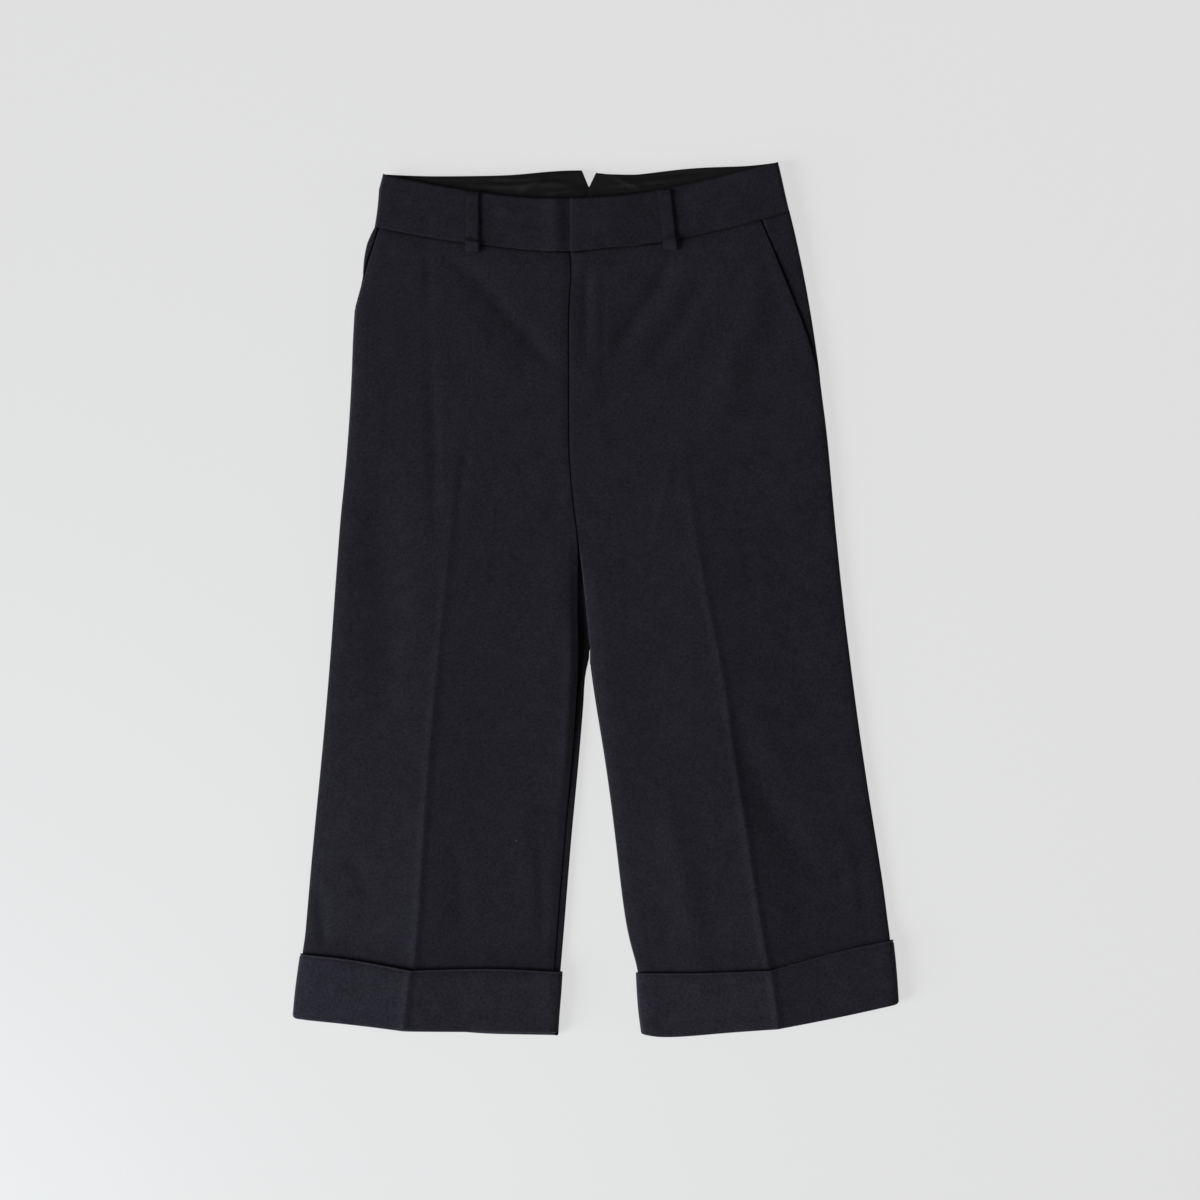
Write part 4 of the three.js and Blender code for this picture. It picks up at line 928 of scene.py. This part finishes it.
class TROUSERS_OT_waistband(bpy.types.Operator):
    """Models the waistband, front and back, and its belt loops"""

    bl_idname = "trousers.waistband"
    bl_label = "Waistband and loops"

    def execute(self, context):
        sizes = context.scene.trousers_sizes
        loop_detail = max(sizes.small_detail - 1, 1)
        for side in SIDES:
            for node, relief in (("waistband_front", band_relief(side, sizes.folds)), ("waistband_back", flat)):
                cloth_piece(f"{node}_{side}", flannel(context.scene), sizes.small_detail, relief, sizes.rounding)
            for face, relief, wider in (("front", loop_relief(side, sizes.folds), LOOP_ROUNDING), ("back", flat, 1)):
                cloth_piece(f"belt_loop_{face}_{side}", flannel(context.scene), loop_detail, relief,
                            wider * sizes.rounding, outline=round_loop, shaded=shade_rims)
        return {"FINISHED"}


class TROUSERS_OT_pockets(bpy.types.Operator):
    """Models the pocket bearers and the fly shield"""

    bl_idname = "trousers.pockets"
    bl_label = "Pocket bearers and fly shield"

    def execute(self, context):
        sizes = context.scene.trousers_sizes
        rows = [(f"pocket_bearer_{side}", pocket_relief(side, sizes.folds)) for side in SIDES]
        for node, relief in (*rows, ("fly_shield", flat)):
            cloth_piece(node, flannel(context.scene), sizes.panel_detail, relief, sizes.rounding)
        return {"FINISHED"}


class TROUSERS_OT_lining(bpy.types.Operator):
    """Models the wrinkled lining inside the back waistband"""

    bl_idname = "trousers.lining"
    bl_label = "Waistband lining"

    def execute(self, context):
        sizes = context.scene.trousers_sizes
        cloth = finish_named("Olive black lining", lambda: lining_material(context.scene.trousers_colours))
        for side in SIDES:
            cloth_piece(f"waistband_lining_{side}", cloth, sizes.small_detail, lining_relief(sizes.folds),
                        LINING_ROUNDING * sizes.rounding)
        return {"FINISHED"}


def one_stitch(long, wide):
    """A stitch along X: a short thread that dips into the cloth at both ends."""
    bpy.ops.object.select_all(action="DESELECT")
    bpy.ops.mesh.primitive_uv_sphere_add(segments=STITCH["sides"], ring_count=STITCH["rings"], radius=0.5,
                                         rotation=(0, math.pi / 2, 0))
    stitch = bpy.context.object
    bpy.ops.object.transform_apply(location=True, rotation=True, scale=True)
    bpy.ops.object.mode_set(mode="EDIT")
    bpy.ops.mesh.select_all(action="SELECT")
    bpy.ops.transform.resize(value=(long, wide, wide * STITCH["flat"]))
    bpy.ops.object.mode_set(mode="OBJECT")
    for vertex in stitch.data.vertices:
        vertex.co.z -= STITCH["dip"] * wide * abs(2 * vertex.co.x / long) ** STITCH["bend"]
    return stitch


def sewn(stitch, spots, name):
    """Copies of a stitch at spots (place, direction), joined into one piece."""
    copies = []
    for place, direction in spots:
        copy = bpy.data.objects.new(name, stitch.data.copy())
        bpy.context.scene.collection.objects.link(copy)
        turn = Vector((1, 0, 0)).rotation_difference(direction).to_matrix().to_4x4()
        copy.data.transform(Matrix.Translation(place) @ turn)
        copies.append(copy)
    bpy.ops.object.select_all(action="DESELECT")
    for copy in copies:
        copy.select_set(True)
    bpy.context.view_layer.objects.active = copies[0]
    bpy.ops.object.join()
    return copies[0]


def on_surface(tree, x, y):
    """The point of a shown surface right under a place seen from above, in metres."""
    hit, *_ = tree.ray_cast(Vector((x, y, 1)), Vector((0, 0, -1)))
    if hit is None:
        raise RuntimeError(f"there is no cloth under a stitch at {x:.4f}, {y:.4f}")
    return hit


class TROUSERS_OT_stitching(bpy.types.Operator):
    """Sews the fly's facing and the bar tacks of the front belt loops"""

    bl_idname = "trousers.stitching"
    bl_label = "Stitching"

    def execute(self, context):
        sizes = context.scene.trousers_sizes
        thread = finish_named("Navy thread", lambda: thread_material(context.scene.trousers_colours))
        fly = surface_of(bpy.data.objects["front_left_cloth"])
        stitch = one_stitch(sizes.stitch_length, sizes.thread_width)
        path = rounded(FLY_STITCHING) * MM
        runs = np.hypot(*np.diff(path, axis=0).T)
        reached = np.concatenate([[0], np.cumsum(runs)])
        lift = Vector((0, 0, sizes.thread_width * THREAD_LIFT["fly"]))
        half = sizes.stitch_length / 2
        spots = []
        for along in np.arange(sizes.stitch_length, reached[-1], sizes.stitch_pitch):
            start, end = (on_surface(fly, *(np.interp(at, reached, path[:, axis]) for axis in (0, 1)))
                          for at in (along - half, along + half))
            spots.append(((start + end) / 2 + lift, end - start))
        pieces = [sewn(stitch, spots, "fly_stitching")]
        tack_stitch = one_stitch(BAR_TACK["long"] * MM, sizes.thread_width * TACK_THREAD["width"])
        lift = Vector((0, 0, sizes.thread_width * THREAD_LIFT["tack"]))
        for loop, (middle, height) in BAR_TACKS.items():
            tree = surface_of(bpy.data.objects[f"{loop}_cloth"])
            shares = np.linspace(-0.5, 0.5, BAR_TACK["stitches"])
            tops = [on_surface(tree, (middle + share * BAR_TACK["wide"]) * MM, height * MM) for share in shares]
            spots = [(top + lift, Vector(TACK_THREAD["way"])) for top in tops]
            pieces.append(sewn(tack_stitch, spots, f"{loop}_bar_tack"))
        for piece in pieces:
            piece.data.materials.clear()
            piece.data.materials.append(thread)
            only(piece)
            bpy.ops.object.shade_smooth()
            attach(piece, BODY)
        for spare in (stitch, tack_stitch):
            bpy.data.objects.remove(spare)
        return {"FINISHED"}


def add_lamp(scene, name, kind, strength, towards, **settings):
    """A light, turned to shine from the direction that it lies towards."""
    lamp = bpy.data.objects.new(name, bpy.data.lights.new(name, kind))
    lamp.data.energy = strength
    for setting, value in settings.items():
        setattr(lamp.data, setting, value)
    lamp.rotation_euler = Vector(towards).to_track_quat("Z", "Y").to_euler()
    scene.collection.objects.link(lamp)
    return lamp


class TROUSERS_OT_stage(bpy.types.Operator):
    """Sets the floor, the soft light and the camera straight above"""

    bl_idname = "trousers.stage"
    bl_label = "Stage"

    def execute(self, context):
        scene = context.scene
        settings = scene.trousers_stage
        bpy.ops.object.select_all(action="DESELECT")
        bpy.ops.mesh.primitive_plane_add(size=FLOOR["size"], location=(0, 0, -FLOOR["below"]))
        floor = bpy.context.object
        floor.name = "floor"
        bpy.ops.object.transform_apply(location=True, rotation=True, scale=True)
        paper, made, shader = new_material("Pale paper")
        glow = {"Emission Color": (1, 1, 1, 1), "Emission Strength": settings.floor_glow}
        made.feed(shader, {"Base Color": (*settings.floor, 1), "Roughness": 1.0, "Specular IOR Level": 0.0, **glow})
        floor.data.materials.append(paper)
        world = bpy.data.worlds.new("Even dome")
        world.use_nodes = True
        dome = Nodes(world.node_tree)
        dome.feed(dome.tree.nodes["Background"], {"Color": (1, 1, 1, 1), "Strength": settings.dome_light})
        scene.world = world
        add_lamp(scene, "key_light", "SUN", settings.key_light, **KEY_LIGHT)
        add_lamp(scene, "fill_light", "SUN", settings.fill_light, **FILL_LIGHT)
        place = Vector(NEAR_LIGHT["place"])
        near = add_lamp(scene, "near_light", "AREA", settings.near_light, place - Vector(NEAR_LIGHT["aim"]),
                        size=NEAR_LIGHT["size"], color=NEAR_LIGHT["colour"])
        near.location = place
        camera = bpy.data.objects.new("camera", bpy.data.cameras.new("camera"))
        camera.data.lens = settings.lens
        camera.data.sensor_width = CAMERA["sensor"]
        camera.location = (CAMERA["x"], CAMERA["y"], settings.camera_height)
        camera.data.clip_start, camera.data.clip_end = CAMERA["clip"]
        scene.collection.objects.link(camera)
        scene.camera = camera
        scene.view_settings.view_transform = "Standard"
        return {"FINISHED"}


STEPS = (TROUSERS_OT_legs, TROUSERS_OT_turn_ups, TROUSERS_OT_waistband, TROUSERS_OT_pockets, TROUSERS_OT_lining,
         TROUSERS_OT_stitching, TROUSERS_OT_stage)


class TROUSERS_PT_panel(bpy.types.Panel):
    """Lists the pieces of the trousers"""

    bl_label = "Trousers"
    bl_space_type = "VIEW_3D"
    bl_region_type = "UI"
    bl_category = "Trousers"

    def draw(self, context):
        scene = context.scene
        for step in STEPS:
            self.layout.operator(step.bl_idname)
        for settings in (scene.trousers_sizes, scene.trousers_colours, scene.trousers_stage):
            for name in settings.bl_rna.properties.keys():
                if name not in ("rna_type", "name"):
                    self.layout.prop(settings, name)


CLASSES = (TrousersSizes, TrousersColours, StageSettings, *STEPS, TROUSERS_PT_panel)


def register():
    for made in CLASSES:
        bpy.utils.register_class(made)
    bpy.types.Scene.trousers_sizes = bpy.props.PointerProperty(type=TrousersSizes)
    bpy.types.Scene.trousers_colours = bpy.props.PointerProperty(type=TrousersColours)
    bpy.types.Scene.trousers_stage = bpy.props.PointerProperty(type=StageSettings)


def unregister():
    for name in ("trousers_sizes", "trousers_colours", "trousers_stage"):
        delattr(bpy.types.Scene, name)
    for made in reversed(CLASSES):
        bpy.utils.unregister_class(made)


def main():
    register()
    for step in STEPS:
        group, name = step.bl_idname.split(".")
        getattr(getattr(bpy.ops, group), name)()


if __name__ == "__main__":
    main()
